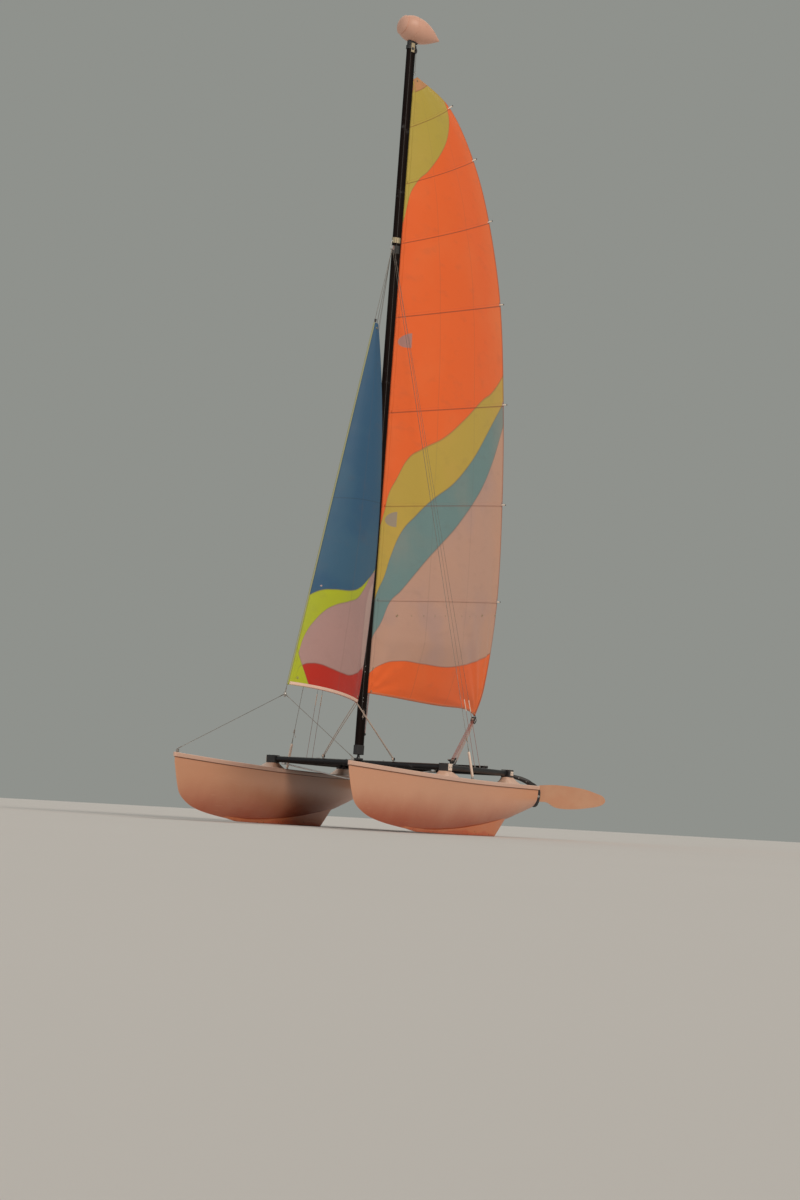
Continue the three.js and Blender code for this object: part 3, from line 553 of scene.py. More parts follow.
class Workshop:
    """Grows ropes, turned bodies and fixings with the shared Geometry Nodes trees."""

    def __init__(self) -> None:
        """Builds each tree once."""
        self.turned = TurnedTree()
        self.fixings = {kind: FixingTree(kind) for kind in Fixing}

    def lines(self, name: str, runs: Sequence[Any], girth: Any, finish: "Finish",
              sides: int = 10) -> Piece:
        """Round lines through rows of points.

        Args:
            name: The piece's name.
            runs: Point rows in boat millimetres.
            girth: One radius in millimetres, one row of radii for all runs, or a list of such rows.
            finish: What they are made of.
            sides: Faces round the section.

        Returns:
            The object.
        """
        runs = [np.asarray(run, float) for run in runs]
        rows = girth if isinstance(girth, list) else [girth] * len(runs)
        radii = [np.broadcast_to(row, len(run)) for row, run in zip(rows, runs)]
        ends = set(np.cumsum([len(run) for run in runs]).tolist())
        edges = [[i, i + 1] for i in range(max(ends) - 1) if i + 1 not in ends]
        obj = bare(name, np.concatenate(runs), (), edges)
        layer = obj.data.attributes.new("girth", "FLOAT", "POINT")
        layer.data.foreach_set("value", (np.concatenate(radii) * MM).astype(np.float32))
        return self.turned.grow(obj, finish.material(), Sides=sides)

    def fix(self, name: str, kind: Fixing, spots: Spots, radius: float, height: float,
            finish: "Finish") -> Piece:
        """Fixings on points.

        Args:
            name: The piece's name.
            kind: What stands on each point.
            spots: Place and facing of each, in boat millimetres.
            radius: Radius of the head or ring.
            height: Height of the head, or radius of the ring's bead.
            finish: What they are made of.

        Returns:
            The object.
        """
        obj = bare(name, np.array([spot for spot, _ in spots], float))
        layer = obj.data.attributes.new("facing", "FLOAT_VECTOR", "POINT")
        layer.data.foreach_set("vector", np.array([facing for _, facing in spots], np.float32).ravel())
        return self.fixings[kind].grow(obj, finish.material(), Radius=radius * MM, Height=height * MM)


# Finishes


@dataclass(frozen=True)
class Finish:
    """A named finish whose material is made once, when first asked for."""

    name: str
    slot: str = "gelcoat"

    def material(self) -> bpy.types.Material:
        """The finish's material, the same one each time."""
        if self.name not in bpy.data.materials:
            self.paint(ShaderTree(self.name))
        return bpy.data.materials[self.name]

    def paint(self, tree: ShaderTree) -> None:
        """Fills the material's tree."""
        raise NotImplementedError


@dataclass(frozen=True)
class Gelcoat(Finish):
    """Glossy moulded gelcoat, darker and warmer towards the keel with stain and painted shade of the underside, with
    fine scratches along the boat and sand specks.
    """

    clean: Colour = (0.71, 0.355, 0.215)
    # Colour low on the body: partly stain, partly painted shade under the hull.
    stained: Colour = (0.40, 0.050, 0.002)
    stain_from: float = 0.10
    stain_to: float = 0.58
    grit: float = 1.0

    def paint(self, tree: ShaderTree) -> None:
        """Fills the material's tree.

        Args:
            tree: The material's tree.
        """
        height = tree.axis(tree.here, "Z")
        cloud, blotch = tree.noise(2.2, 3), tree.noise(0.9, 4)
        scratch = tree.noise(9, 3, tree.stretched((0.5, 6, 9)))
        line = height + cloud * 0.16
        # Towards the keel the colour turns to stain together with painted shade of the underside.
        colour = tree.mix(line.step(self.stain_to, self.stain_from) * 0.95, self.clean, self.stained)
        colour = tree.mix(blotch.step(0.42, 0.7) * 0.22, colour, (0.60, 0.33, 0.20))
        colour = tree.mix(scratch.step(0.58, 0.8) * 0.12, colour, (0.9, 0.68, 0.50))
        speck = tree.noise(34, 4).step(0.62, 0.70) * height.step(0.11, 0.0) * self.grit
        colour = tree.mix(speck * 0.8, colour, (0.16, 0.07, 0.03))
        tree.surface(colour, 0.26 + scratch * 0.2 + speck * 0.3, height=scratch * 0.3 + cloud * 0.7,
                     depth=1.2, Coat_Weight=0.1, Coat_Roughness=0.15)


@dataclass(frozen=True)
class DeckGelcoat(Gelcoat):
    """Gelcoat whose level top has a moulded diamond tread, greyed a little by feet."""

    pitch: float = 9.0

    def paint(self, tree: ShaderTree) -> None:
        """Fills the material's tree.

        Args:
            tree: The material's tree.
        """
        facing = tree.axis(tree.node("ShaderNodeNewGeometry", output="Normal"), "Z")
        top = facing.step(0.93, 0.985)
        waves = [tree.node("ShaderNodeTexWave", {"Vector": tree.stretched((1, 1, 1), turn),
                                                 "Scale": WAVES / self.pitch}, "Fac", wave_profile="SIN")
                 for turn in (math.pi / 4, -math.pi / 4)]
        tread = waves[0].math("MAXIMUM", waves[1]).step(0.7, 0.98) * top
        cloud, wear = tree.noise(2.6, 3), tree.noise(11, 4)
        colour = tree.mix(cloud * 0.5, self.clean, (0.74, 0.52, 0.36))
        colour = tree.mix((wear.step(0.45, 0.75) * 0.4 + tread * 0.12) * top, colour, (0.45, 0.38, 0.33))
        tree.surface(colour, 0.3 + top * 0.25 + wear * 0.12, height=tread * 0.7 + wear * 0.15,
                     depth=0.9, Coat_Weight=0.2, Coat_Roughness=0.2)


@dataclass(frozen=True)
class BladeGelcoat(Gelcoat):
    """A rudder blade's gelcoat, chalked on its flats and worn through at its edges."""

    def paint(self, tree: ShaderTree) -> None:
        """Fills the material's tree.

        Args:
            tree: The material's tree.
        """
        cloud = tree.noise(5, 4)
        scratch = tree.noise(16, 3, tree.stretched((1.4, 1.4, 7)))
        edge = tree.node("ShaderNodeNewGeometry", output="Pointiness").step(0.51, 0.56)
        colour = tree.mix(cloud.step(0.35, 0.75) * 0.5, self.clean, (0.76, 0.45, 0.28))
        colour = tree.mix(edge * 0.35 + scratch.step(0.62, 0.8) * 0.25, colour, (0.42, 0.26, 0.16))
        tree.surface(colour, 0.32 + scratch * 0.25, height=scratch * 0.5 + cloud, depth=0.5,
                     Coat_Weight=0.2, Coat_Roughness=0.2)


@dataclass(frozen=True)
class Alloy(Finish):
    """Anodised alloy, drawn along one axis, with scuffs that show the metal."""

    slot: str = "black_alloy"
    colour: Colour = (0.018, 0.018, 0.02)
    drawn: Colour = (30, 0.6, 30)
    metal: float = 0.55
    rough: float = 0.34

    def paint(self, tree: ShaderTree) -> None:
        """Fills the material's tree.

        Args:
            tree: The material's tree.
        """
        grain = tree.noise(14, 2, tree.stretched(self.drawn))
        scuff = tree.noise(5, 5).step(0.64, 0.72) * tree.noise(60, 3).step(0.4, 0.65)
        dust = tree.noise(1.4, 2).step(0.35, 0.75)
        bright = tuple(0.16 + c * 0.8 for c in self.colour)
        colour = tree.mix(scuff * 0.4 + dust * 0.03, self.colour, bright)
        tree.surface(colour, self.rough + grain * 0.16 + dust * 0.08, self.metal, height=grain, depth=0.25)


@dataclass(frozen=True)
class Moulding(Finish):
    """Moulded plastic or cast alloy under paint: a fine grain, and dust on what looks up."""

    slot: str = "black_moulding"
    colour: Colour = (0.020, 0.020, 0.022)
    dust: Colour = (0.14, 0.115, 0.095)
    rough: float = 0.5
    grain: float = 420.0
    relief: float = 0.35

    def paint(self, tree: ShaderTree) -> None:
        """Fills the material's tree.

        Args:
            tree: The material's tree.
        """
        grain = tree.noise(self.grain, 2)
        cloud = tree.noise(7, 4)
        up = tree.axis(tree.node("ShaderNodeNewGeometry", output="Normal"), "Z").step(0.3, 1.0)
        worn = tree.node("ShaderNodeNewGeometry", output="Pointiness").step(0.53, 0.6)
        colour = tree.mix(cloud.step(0.4, 0.75) * (0.12 + up * 0.4), self.colour, self.dust)
        colour = tree.mix(worn * cloud * 0.5, colour, tuple(min(1.0, c * 1.5 + 0.06) for c in self.colour))
        tree.surface(colour, self.rough + cloud * 0.15, height=grain * 0.4 + cloud * 0.6, depth=self.relief)


@dataclass(frozen=True)
class Steel(Finish):
    """Stainless steel or plated brass, finely scratched and a little stained."""

    slot: str = "steel"
    colour: Colour = (0.55, 0.54, 0.52)
    stain: Colour = (0.24, 0.16, 0.10)
    rough: float = 0.28

    def paint(self, tree: ShaderTree) -> None:
        """Fills the material's tree.

        Args:
            tree: The material's tree.
        """
        scratch = tree.noise(90, 3, tree.stretched((1, 1, 5)))
        stain = tree.noise(22, 4).step(0.58, 0.75)
        tree.surface(tree.mix(stain * 0.5, self.colour, self.stain), self.rough + scratch * 0.2 + stain * 0.15,
                     0.92, height=scratch, depth=0.12)


@dataclass(frozen=True)
class Laid(Finish):
    """Laid wire or braided rope: strands that wind about the line, one way or both, with painted shade in the grooves
    between them.
    """

    slot: str = "steel"
    colour: Colour = (0.5, 0.49, 0.47)
    fleck: Colour = (0.2, 0.19, 0.18)
    strands: int = 6
    pitch: float = 0.03
    braided: bool = False
    metal: float = 0.85
    rough: float = 0.32
    relief: float = 0.5

    def paint(self, tree: ShaderTree) -> None:
        """Fills the material's tree.

        Args:
            tree: The material's tree.
        """
        spin = tree.attribute("spin", "Vector")
        angle = tree.maths("ARCTAN2", tree.axis(spin, "Y"), tree.axis(spin, "X"))
        along = tree.attribute("along") * (2 * math.pi / self.pitch)
        lay = ((angle + along) * (self.strands / 2)).math("SINE").math("ABSOLUTE")
        if self.braided:
            lay = lay * ((angle - along) * (self.strands / 2)).math("SINE").math("ABSOLUTE")
            mark = ((angle - along) * (self.strands / 4)).math("SINE").step(0.7, 0.9)
        else:
            mark = tree.noise(120, 3).step(0.5, 0.7)
        shade = lay.step(0.0, 0.5)
        worn = tree.noise(9, 3)
        # Flecks, and painted shade in the grooves between the strands, both in the fleck colour.
        colour = tree.mix(mark * 0.7 + (1 - shade) * 0.45, self.colour, self.fleck)
        colour = tree.mix(worn * 0.25, colour, (0.32, 0.26, 0.21))
        tree.surface(colour, self.rough + (1 - shade) * 0.2 + worn * 0.1, self.metal, height=shade, depth=self.relief)


@dataclass(frozen=True)
class MeshCloth(Finish):
    """Woven trampoline mesh: round black yarns over and under, sun-greyed where feet go, with a painted highlight on
    the yarn crowns and painted shade in the holes.
    """

    slot: str = "mesh_cloth"
    pitch: float = 5.0
    colour: Colour = (0.018, 0.018, 0.020)

    def paint(self, tree: ShaderTree) -> None:
        """Fills the material's tree.

        Args:
            tree: The material's tree.
        """
        turns = 1000 / self.pitch
        x, y = (tree.axis(tree.here, name) * (turns * math.pi) for name in "XY")
        warp, weft = x.math("SINE").math("ABSOLUTE"), y.math("SINE").math("ABSOLUTE")
        over = (x.math("SINE") * y.math("SINE")).step(-0.2, 0.2)
        yarn = warp * over + weft * (1 - over)
        hole = (1 - warp).math("MULTIPLY", 1 - weft).step(0.35, 0.6)
        wear = tree.noise(1.6, 4)
        # Yarn crowns painted lighter as a highlight, worn patches greyed; the holes are painted near black as the
        # shade seen through the mesh.
        colour = tree.mix(yarn * 0.3 + wear.step(0.4, 0.75) * 0.3, self.colour, (0.085, 0.082, 0.08))
        colour = tree.mix(hole, colour, (0.004, 0.004, 0.004))
        tree.surface(colour, 0.62 + wear * 0.15, height=yarn * (1 - hole), depth=0.8)


@dataclass(frozen=True)
class Webbing(Finish):
    """Coated cloth or woven strap: ribs across with a painted highlight on them, rows of stitches along the edges it
    was sewn by.
    """

    slot: str = "mesh_cloth"
    colour: Colour = (0.024, 0.024, 0.027)
    thread: Colour = (0.25, 0.24, 0.22)
    rib: float = 2.4

    def paint(self, tree: ShaderTree) -> None:
        """Fills the material's tree.

        Args:
            tree: The material's tree.
        """
        rib = tree.node("ShaderNodeTexWave", {"Vector": tree.here, "Scale": WAVES / self.rib, "Distortion": 0.6},
                        "Fac", bands_direction="DIAGONAL")
        across, along = (tree.axis(tree.node("ShaderNodeUVMap", uv_map="cut"), name) for name in "XY")
        row = across.band(0.12, 0.02, 0.015) + across.band(0.88, 0.02, 0.015)
        stitch = row * (along * (math.pi * 170)).math("SINE").step(-0.1, 0.25)
        wear = tree.noise(6, 4)
        # Ribs painted lighter as a highlight; the lighter worn patches are wear.
        colour = tree.mix(rib * 0.3 + wear * 0.3, self.colour, tuple(c * 1.6 + 0.02 for c in self.colour))
        colour = tree.mix(stitch * 0.8, colour, self.thread)
        tree.surface(colour, 0.55 + wear * 0.2, height=rib * 0.35 + stitch, depth=0.6)


@dataclass(frozen=True)
class Panel:
    """One sewn colour of a sail, above or below a seam that crosses the cut."""

    colour: Colour
    seam: Sequence[Pair]
    below: bool = False


@dataclass(frozen=True)
class Sailcloth(Finish):
    """Woven sailcloth in sewn panels, on the cut's own UV: across from luff to leech, and up; with painted shadow in
    blotches, at seams, creases and pocket edges, and a painted glow.
    """

    slot: str = "main_sailcloth"
    ground: Colour = (0.8, 0.8, 0.8)
    panels: tuple[Panel, ...] = ()
    level_seams: Sequence[Pair] = ()
    upright_seams: tuple[float, ...] = ()
    patches: tuple[tuple[float, float, float, float], ...] = ()
    patch_colour: Colour = (0.30, 0.27, 0.28)
    width: float = 2.4
    length: float = 7.0
    glow: Colour = (0.9, 0.4, 0.15)
    shadow: Colour = (0.16, 0.10, 0.08)
    haze: Colour = (0.47, 0.315, 0.30)
    # Colour of the thin dark lines: stitching with painted shadow.
    ridge: Colour = (0.34, 0.08, 0.04)

    def paint(self, tree: ShaderTree) -> None:
        """Fills the material's tree.

        Args:
            tree: The material's tree.
        """
        cut = tree.node("ShaderNodeUVMap", uv_map="cut")
        across, up = tree.axis(cut, "X"), tree.axis(cut, "Y")
        # Soft blotches of painted shadow across the sail.
        colour: Any = tree.mix(tree.noise(0.9, 5).step(0.46, 0.60) * 0.45, self.ground, self.haze)
        sewn: Any = 0.0
        lines: Any = 0.0
        for panel in self.panels:
            level = tree.node("ShaderNodeFloatCurve", {"Value": across}, curve=panel.seam)
            gap = (up - level) * self.length
            edge = gap.step(0.004, -0.004) if panel.below else gap.step(-0.004, 0.004)
            colour = tree.mix(edge, colour, panel.colour)
            sewn = gap.band(0.0, 0.008, 0.004) + sewn
        # Thin dark lines across the cut at seams and pocket edges: stitching with painted shadow.
        for level, depth in self.level_seams:
            lines = ((up - level) * self.length).band(0.0, 0.004, 0.004) * depth + lines
        for place in self.upright_seams:
            sewn = ((across - place) * self.width).band(0.0, 0.006, 0.005) * 0.4 + sewn
        sewn = sewn.math("MINIMUM", 1.0)
        # A dark line along the inner edge of the leech tape: stitching with painted shadow.
        lines = across.step(0.984, 0.988) * 1.2 + lines
        # Sewn patches, and ellipses of painted light where a fold of the cloth catches it.
        for place, level, wide, high in self.patches:
            aside = (across - place) / wide
            away = aside.math("POWER", 2.0) + ((up - level) / high).math("POWER", 2.0)
            colour = tree.mix(away.step(1.15, 0.9) * aside.step(0.04, -0.04) * 0.75, colour, self.patch_colour)
        yarns = [(tree.axis(tree.here, name) * 2100).math("SINE") for name in "XZ"]
        weave = (yarns[0] * yarns[1]) * 0.5 + 0.5
        cloud = tree.noise(1.1, 4)
        crinkle = tree.noise(4.5, 4, tree.stretched((1, 1, 1.8)))
        # Painted glow, as of light through the cloth, towards the leech and in soft clouds.
        colour = tree.mix(across.step(0.75, 1.0) * 0.12 + cloud.step(0.45, 0.8) * 0.12, colour, self.glow)
        colour = tree.mix(sewn * 0.30 + crinkle.step(0.52, 0.8) * 0.10, colour, self.shadow)
        colour = tree.mix(lines * 0.5, colour, self.ridge)
        stitch = (across * self.width * 520).math("SINE").step(0.0, 0.5) * sewn
        relief = weave * 0.02 + crinkle * 0.75 + sewn * 0.12 + stitch * 0.05
        tree.surface(colour, 0.55 + cloud * 0.12, height=relief, depth=5.0, Sheen_Weight=0.05, Sheen_Roughness=0.5)


@dataclass(frozen=True)
class Ground(Finish):
    """The studio's pale floor, faintly uneven."""

    colour: Colour = (0.62, 0.60, 0.58)

    def paint(self, tree: ShaderTree) -> None:
        """Fills the material's tree.

        Args:
            tree: The material's tree.
        """
        cloud = tree.noise(0.3, 3)
        tree.surface(tree.mix(cloud * 0.25, self.colour, tuple(c * 0.94 for c in self.colour)),
                     0.75 + cloud * 0.1, height=tree.noise(30, 2), depth=0.3)


ORANGE = (0.97, 0.150, 0.020)
YELLOW = (0.575, 0.405, 0.065)
TEAL = (0.170, 0.285, 0.290)
PINK_WHITE = (0.59, 0.350, 0.265)
OLIVE = (0.535, 0.410, 0.060)
DEEP_BLUE = (0.024, 0.100, 0.200)
NEON = (0.455, 0.510, 0.006)
LILAC = (0.465, 0.275, 0.255)
RED_ORANGE = (0.530, 0.014, 0.001)

HULL = Gelcoat("hull gelcoat")
SKEG = Gelcoat("keel strip gelcoat", clean=(0.62, 0.17, 0.050), stained=(0.56, 0.09, 0.015), stain_to=0.13)
DECK = DeckGelcoat("deck gelcoat", clean=(0.71, 0.44, 0.35))
PLAIN = Gelcoat("pylon gelcoat", clean=(0.74, 0.48, 0.36), stain_from=-1.0, stain_to=-0.9, grit=0.0)
BLADE = BladeGelcoat("rudder gelcoat", clean=(0.70, 0.33, 0.19))
# The bead's dark reddish brown is partly its own colour and partly painted shade under the deck lip.
LIP_SHADE_BEAD = Moulding("gasket bead", colour=(0.30, 0.115, 0.060), rough=0.45)
BAR = Alloy("black crossbar alloy")
RAIL = Alloy("black rail alloy", drawn=(0.6, 30, 30))
SPAR = Alloy("black spar alloy", colour=(0.010, 0.005, 0.004), drawn=(30, 30, 0.6), metal=0.88, rough=0.42)
CAST = Moulding("black casting", rough=0.42, relief=0.5)
BLACK = Moulding("black plastic", rough=0.5)
WHITE = Moulding("white plastic", "white_plastic", (0.86, 0.67, 0.55), (0.60, 0.45, 0.35), 0.42, 260)
FLOAT = Moulding("float skin", "white_plastic", (0.74, 0.41, 0.30), (0.60, 0.34, 0.24), 0.38, 120)
RED = Moulding("red plastic", "white_plastic", (0.42, 0.03, 0.015), (0.30, 0.09, 0.06), 0.45)
STEEL = Steel("stainless steel")
EYELET = Steel("plated brass", colour=(0.50, 0.42, 0.28), rough=0.33)
WIRE = Laid("laid wire", colour=(0.30, 0.26, 0.23), fleck=(0.10, 0.09, 0.08))


def rope(name: str, colour: Colour, fleck: Colour, pitch: float = 0.016, slot: str = "white_plastic") -> Laid:
    """A braided rope's finish."""
    return Laid(name, slot, colour, fleck, 8, pitch, True, 0.0, 0.75, 0.6)


SHEET_ROPE = rope("mainsheet rope", (0.62, 0.42, 0.34), (0.30, 0.05, 0.05), 0.024)
WHITE_ROPE = rope("white rope", (0.74, 0.60, 0.50), (0.40, 0.30, 0.25))
BLACK_ROPE = rope("black rope", (0.03, 0.03, 0.034), (0.10, 0.09, 0.09), 0.014, "mesh_cloth")
RED_ROPE = rope("red rope", (0.36, 0.05, 0.035), (0.5, 0.32, 0.26))
MESH = MeshCloth("trampoline mesh")
BORDER = Webbing("coated border cloth")
STRAP = Webbing("woven strap", rib=3.2, thread=(0.35, 0.33, 0.3))
FOOT_TAPE = Webbing("mainsail foot tape", "main_sailcloth", (0.60, 0.15, 0.06), (0.4, 0.14, 0.08), 1.6)
HEAD_PATCH = Webbing("mainsail head patch", "main_sailcloth", (0.50, 0.24, 0.10), (0.4, 0.2, 0.1), 1.6)
JIB_TAPE = Webbing("jib foot tape", "jib_sailcloth", (0.74, 0.50, 0.40), (0.5, 0.4, 0.33), 1.6)
JIB_SLEEVE = Webbing("jib luff sleeve", "jib_sailcloth", (0.30, 0.30, 0.16), (0.3, 0.3, 0.3), 1.6)
MAIN_CLOTH = Sailcloth(
    "mainsail cloth", ground=PINK_WHITE, width=2.5, length=7.2,
    panels=(
        Panel(TEAL, ((0, 0.160), (0.007, 0.169), (0.038, 0.188), (0.069, 0.216), (0.127, 0.234), (0.223, 0.260),
                     (0.331, 0.283), (0.499, 0.311), (0.653, 0.339), (0.84, 0.380), (0.991, 0.421), (1, 0.423))),
        Panel(YELLOW, ((0, 0.222), (0.011, 0.234), (0.037, 0.253), (0.063, 0.277), (0.104, 0.300), (0.189, 0.321),
                       (0.282, 0.338), (0.444, 0.358), (0.589, 0.381), (0.764, 0.412), (1, 0.447))),
        Panel(ORANGE, ((0, 0.31), (0.013, 0.323), (0.027, 0.343), (0.065, 0.364), (0.12, 0.387), (0.199, 0.398),
                       (0.344, 0.410), (0.523, 0.430), (0.717, 0.451), (0.829, 0.458), (1, 0.477))),
        Panel(OLIVE, ((0, 0.70), (0.016, 0.717), (0.037, 0.747), (0.091, 0.770), (0.231, 0.788), (0.436, 0.814),
                      (0.647, 0.843), (0.926, 0.894), (1, 0.91))),
        Panel(ORANGE, ((0, 0.085), (0.01, 0.092), (0.065, 0.113), (0.16, 0.1244), (0.311, 0.1250),
                       (0.505, 0.1256), (0.658, 0.1333), (0.823, 0.1444), (0.985, 0.1578), (1, 0.160)), True)),
    # Dark lines at the batten pockets' edges: stitching, with painted shadow under each pocket, so the lower edge is
    # darker.
    level_seams=tuple((n / 9 + s * d, (0.62 - s * 0.38) * k) for n, d, k in (
        (2, 0.0014, 0.35), (3, 0.0014, 0.5), (4, 0.0014, 0.9), (5, 0.0016, 1), (6, 0.0020, 1), (7, 0.0022, 1),
        (8, 0.0025, 1)) for s in (1, -1)),
    upright_seams=(0.30, 0.62),
    patches=((0.104, 0.524, 0.080, 0.0084), (0.082, 0.317, 0.059, 0.0085), *(
        (0.999, n / 9, 0.024, 0.0040) for n in range(2, 9))))
JIB_CLOTH = Sailcloth(
    "jib cloth", "jib_sailcloth", DEEP_BLUE, width=0.9, length=4.6, glow=(0.06, 0.12, 0.15),
    haze=(0.05, 0.14, 0.22), ridge=(0.02, 0.03, 0.05),
    panels=(
        Panel(NEON, ((0, 0.235), (0.049, 0.244), (0.122, 0.252), (0.251, 0.256), (0.542, 0.262), (0.673, 0.274),
                     (0.805, 0.295), (0.943, 0.317), (1, 0.331)), True),
        Panel(LILAC, ((0, -0.2), (0.02, 0.0), (0.027, 0.077), (0.031, 0.113), (0.052, 0.141), (0.102, 0.17),
                      (0.181, 0.197), (0.279, 0.214), (0.493, 0.232), (0.643, 0.246), (0.738, 0.268),
                      (0.878, 0.305), (1, 0.325)), True),
        Panel(RED_ORANGE, ((0, -0.3), (0.035, -0.05), (0.053, 0.044), (0.085, 0.055), (0.158, 0.062),
                           (0.244, 0.063), (0.361, 0.059), (0.565, 0.054), (0.691, 0.055), (0.904, 0.076),
                           (1, 0.093)), True),
        Panel(NEON, ((0, 0.100), (0.048, 0.070), (0.093, 0.045), (0.14, 0.020), (0.18, 0.0), (0.24, -0.06),
                     (1, -0.2)), True)),
    level_seams=((0.5, 0.6),), upright_seams=(0.52,),
    # The second patch is a painted highlight on the lit fold near the leech.
    patches=((0.106, 0.262, 0.022, 0.0022), (0.99, 0.185, 0.16, 0.105)), patch_colour=(0.62, 0.42, 0.37))


# Assemblies


@dataclass
class Assembly:
    """A sub-assembly of the boat, which settles its pieces on its own body where no other is given."""

    BODY: ClassVar[str] = "root"
    shop: Workshop

    def finished(self, obj: Piece, finish: Finish) -> Piece:
        """Gives a piece its finish's material.

        Args:
            obj: The piece.
            finish: Its finish.

        Returns:
            The same object.
        """
        obj.data.materials.clear()
        obj.data.materials.append(finish.material())
        log.info("%s: %d faces, %s", obj.name, len(obj.data.polygons), finish.name)
        return obj

    def put(self, obj: Piece, finish: Finish, replaces: Sequence[str] = (), body: str | None = None) -> Piece:
        """Hands a finished piece to the frame.

        Args:
            obj: The piece.
            finish: Its finish.
            replaces: The CAD nodes that it stands for.
            body: The CAD body that it rides on, if it isn't the assembly's own.

        Returns:
            The same object.
        """
        self.finished(obj, finish)
        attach(obj, body or self.BODY)
        if replaces:
            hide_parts(*replaces)
        return obj

    def dress(self, node: str, name: str, edge: float, finish: Finish, body: str | None = None,
              angle: float = 30.0) -> None:
        """Puts a copy of a CAD node in its place, its loose triangles merged and its edges broken.

        Args:
            node: The CAD node.
            name: The new piece's name.
            edge: Width of the broken edges, in millimetres.
            finish: Its finish.
            body: The CAD body that it rides on, if it isn't the assembly's own.
            angle: Edges sharper than this many degrees stay sharp.
        """
        mesh = frame["nodes"][node].data.copy()
        work = bmesh.new()
        work.from_mesh(mesh)
        bmesh.ops.remove_doubles(work, verts=work.verts, dist=WELD)
        bmesh.ops.dissolve_limit(work, angle_limit=math.radians(2), verts=work.verts, edges=work.edges)
        work.to_mesh(mesh)
        work.free()
        mesh.name = name
        mesh.polygons.foreach_set("use_smooth", [True] * len(mesh.polygons))
        mesh.set_sharp_from_angle(angle=math.radians(angle))
        self.put(broken(linked(name, mesh), edge), finish, (node,), body)

    def line(self, name: str, runs: Sequence[Any], girth: Any, finish: Finish, sides: int = 10,
             body: str | None = None, replaces: Sequence[str] = ()) -> Piece:
        """Lines of the workshop, settled on a body."""
        return self.put(self.shop.lines(name, runs, girth, finish, sides), finish, replaces, body)

    def fix(self, name: str, kind: Fixing, spots: Spots, size: Pair, finish: Finish,
            body: str | None = None) -> Piece:
        """Fixings of the workshop, settled on a body."""
        return self.put(self.shop.fix(name, kind, spots, *size, finish), finish, (), body)

    def span(self, name: str, runs: Sequence[Any], girth: float, finish: Finish, body: str) -> Piece:
        """Ropes from the root to another body, given their finish and left unattached.

        Args:
            name: The piece's name.
            runs: Point rows, from the root's end to the other body's end.
            girth: Their radius.
            finish: What they are made of.
            body: Not used.

        Returns:
            The piece.
        """
        obj = self.finished(self.shop.lines(name, runs, girth, finish, 8), finish)
        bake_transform(obj)
        return obj


# Curves


def through(knots: Any, values: Any, at: Any) -> Points:
    """A monotone cubic through a row of values.

    Args:
        knots: Where each value lies, rising.
        values: The values.
        at: Where to read the curve.

    Returns:
        The curve's values.
    """
    k, v, at = (np.asarray(a, float) for a in (knots, values, at))
    run = np.diff(k)
    rise = np.diff(v) / run
    inner = np.where(rise[:-1] * rise[1:] > 0, 2 * rise[:-1] * rise[1:] / (rise[:-1] + rise[1:] + 1e-12), 0)
    slope = np.concatenate([rise[:1], inner, rise[-1:]])
    i = np.clip(np.searchsorted(k, at) - 1, 0, len(run) - 1)
    t, h = (at - k[i]) / run[i], run[i]
    return ((2 * t**3 - 3 * t**2 + 1) * v[i] + (t**3 - 2 * t**2 + t) * h * slope[i]
            + (3 * t**2 - 2 * t**3) * v[i + 1] + (t**3 - t**2) * h * slope[i + 1])


def eased(rows: Any, at: Points) -> Points:
    """Catmull-Rom through the rows of a table.

    Args:
        rows: The table.
        at: Row numbers to read it at.

    Returns:
        One row for each.
    """
    rows, at = np.asarray(rows, float), np.asarray(at, float)
    i = np.clip(np.floor(at).astype(int), 0, len(rows) - 2)
    s = (at - i)[..., None]
    p0, p1, p2, p3 = (rows[np.clip(i + k, 0, len(rows) - 1)] for k in (-1, 0, 1, 2))
    return 0.5 * (2 * p1 + (p2 - p0) * s + (2 * p0 - 5 * p1 + 4 * p2 - p3) * s**2
                  + (3 * p1 - p0 - 3 * p2 + p3) * s**3)


def between(first: Any, last: Any, count: int) -> Points:
    """Evenly spaced points from one to the other."""
    return np.linspace(np.asarray(first, float), np.asarray(last, float), count)


def unit(vector: Any) -> Points:
    """The vector's direction."""
    vector = np.asarray(vector, float)
    return vector / np.linalg.norm(vector)


def pressed(spots: Points, normals: Points, proud: float) -> Spots:
    """Places on both faces of a sail, each with its facing."""
    return [(p + unit(n) * proud * s, n) for p, n in zip(spots, normals) for s in (1, -1)]


def hoop(centre: Any, first: Any, second: Any, count: int) -> Points:
    """A closed ring of points about a centre, through the ends of two arms from it."""
    turn = np.linspace(0, 2 * math.pi, count)[:, None]
    return np.asarray(centre, float) + np.sin(turn) * first + np.cos(turn) * second


def hollow(share: Points) -> Points:
    """A sail's camber at a share of its chord, deepest ahead of the middle."""
    return 4 * share * (1 - share) * (1.25 - 0.5 * share)


def fanned(aside: Points, above: Points, rays: Triple, far: float, near: float) -> Points:
    """Folds that fan out of a lower corner of a sail and die away from it.

    Args:
        aside: Distances from the corner along the foot.
        above: Heights over the foot.
        rays: Waves a radian, how far they sway, and waves of that sway a radian.
        far: How far the folds run.
        near: How far from the corner they begin.

    Returns:
        Their heights, from -1 to 1.
    """
    count, sway, pace = rays
    away, angle = np.hypot(aside, above) + 1, np.arctan2(above, aside + 1)
    return np.sin(angle * count + sway * np.sin(angle * pace)) * np.exp(-away / far) * (1 - np.exp(-away / near))


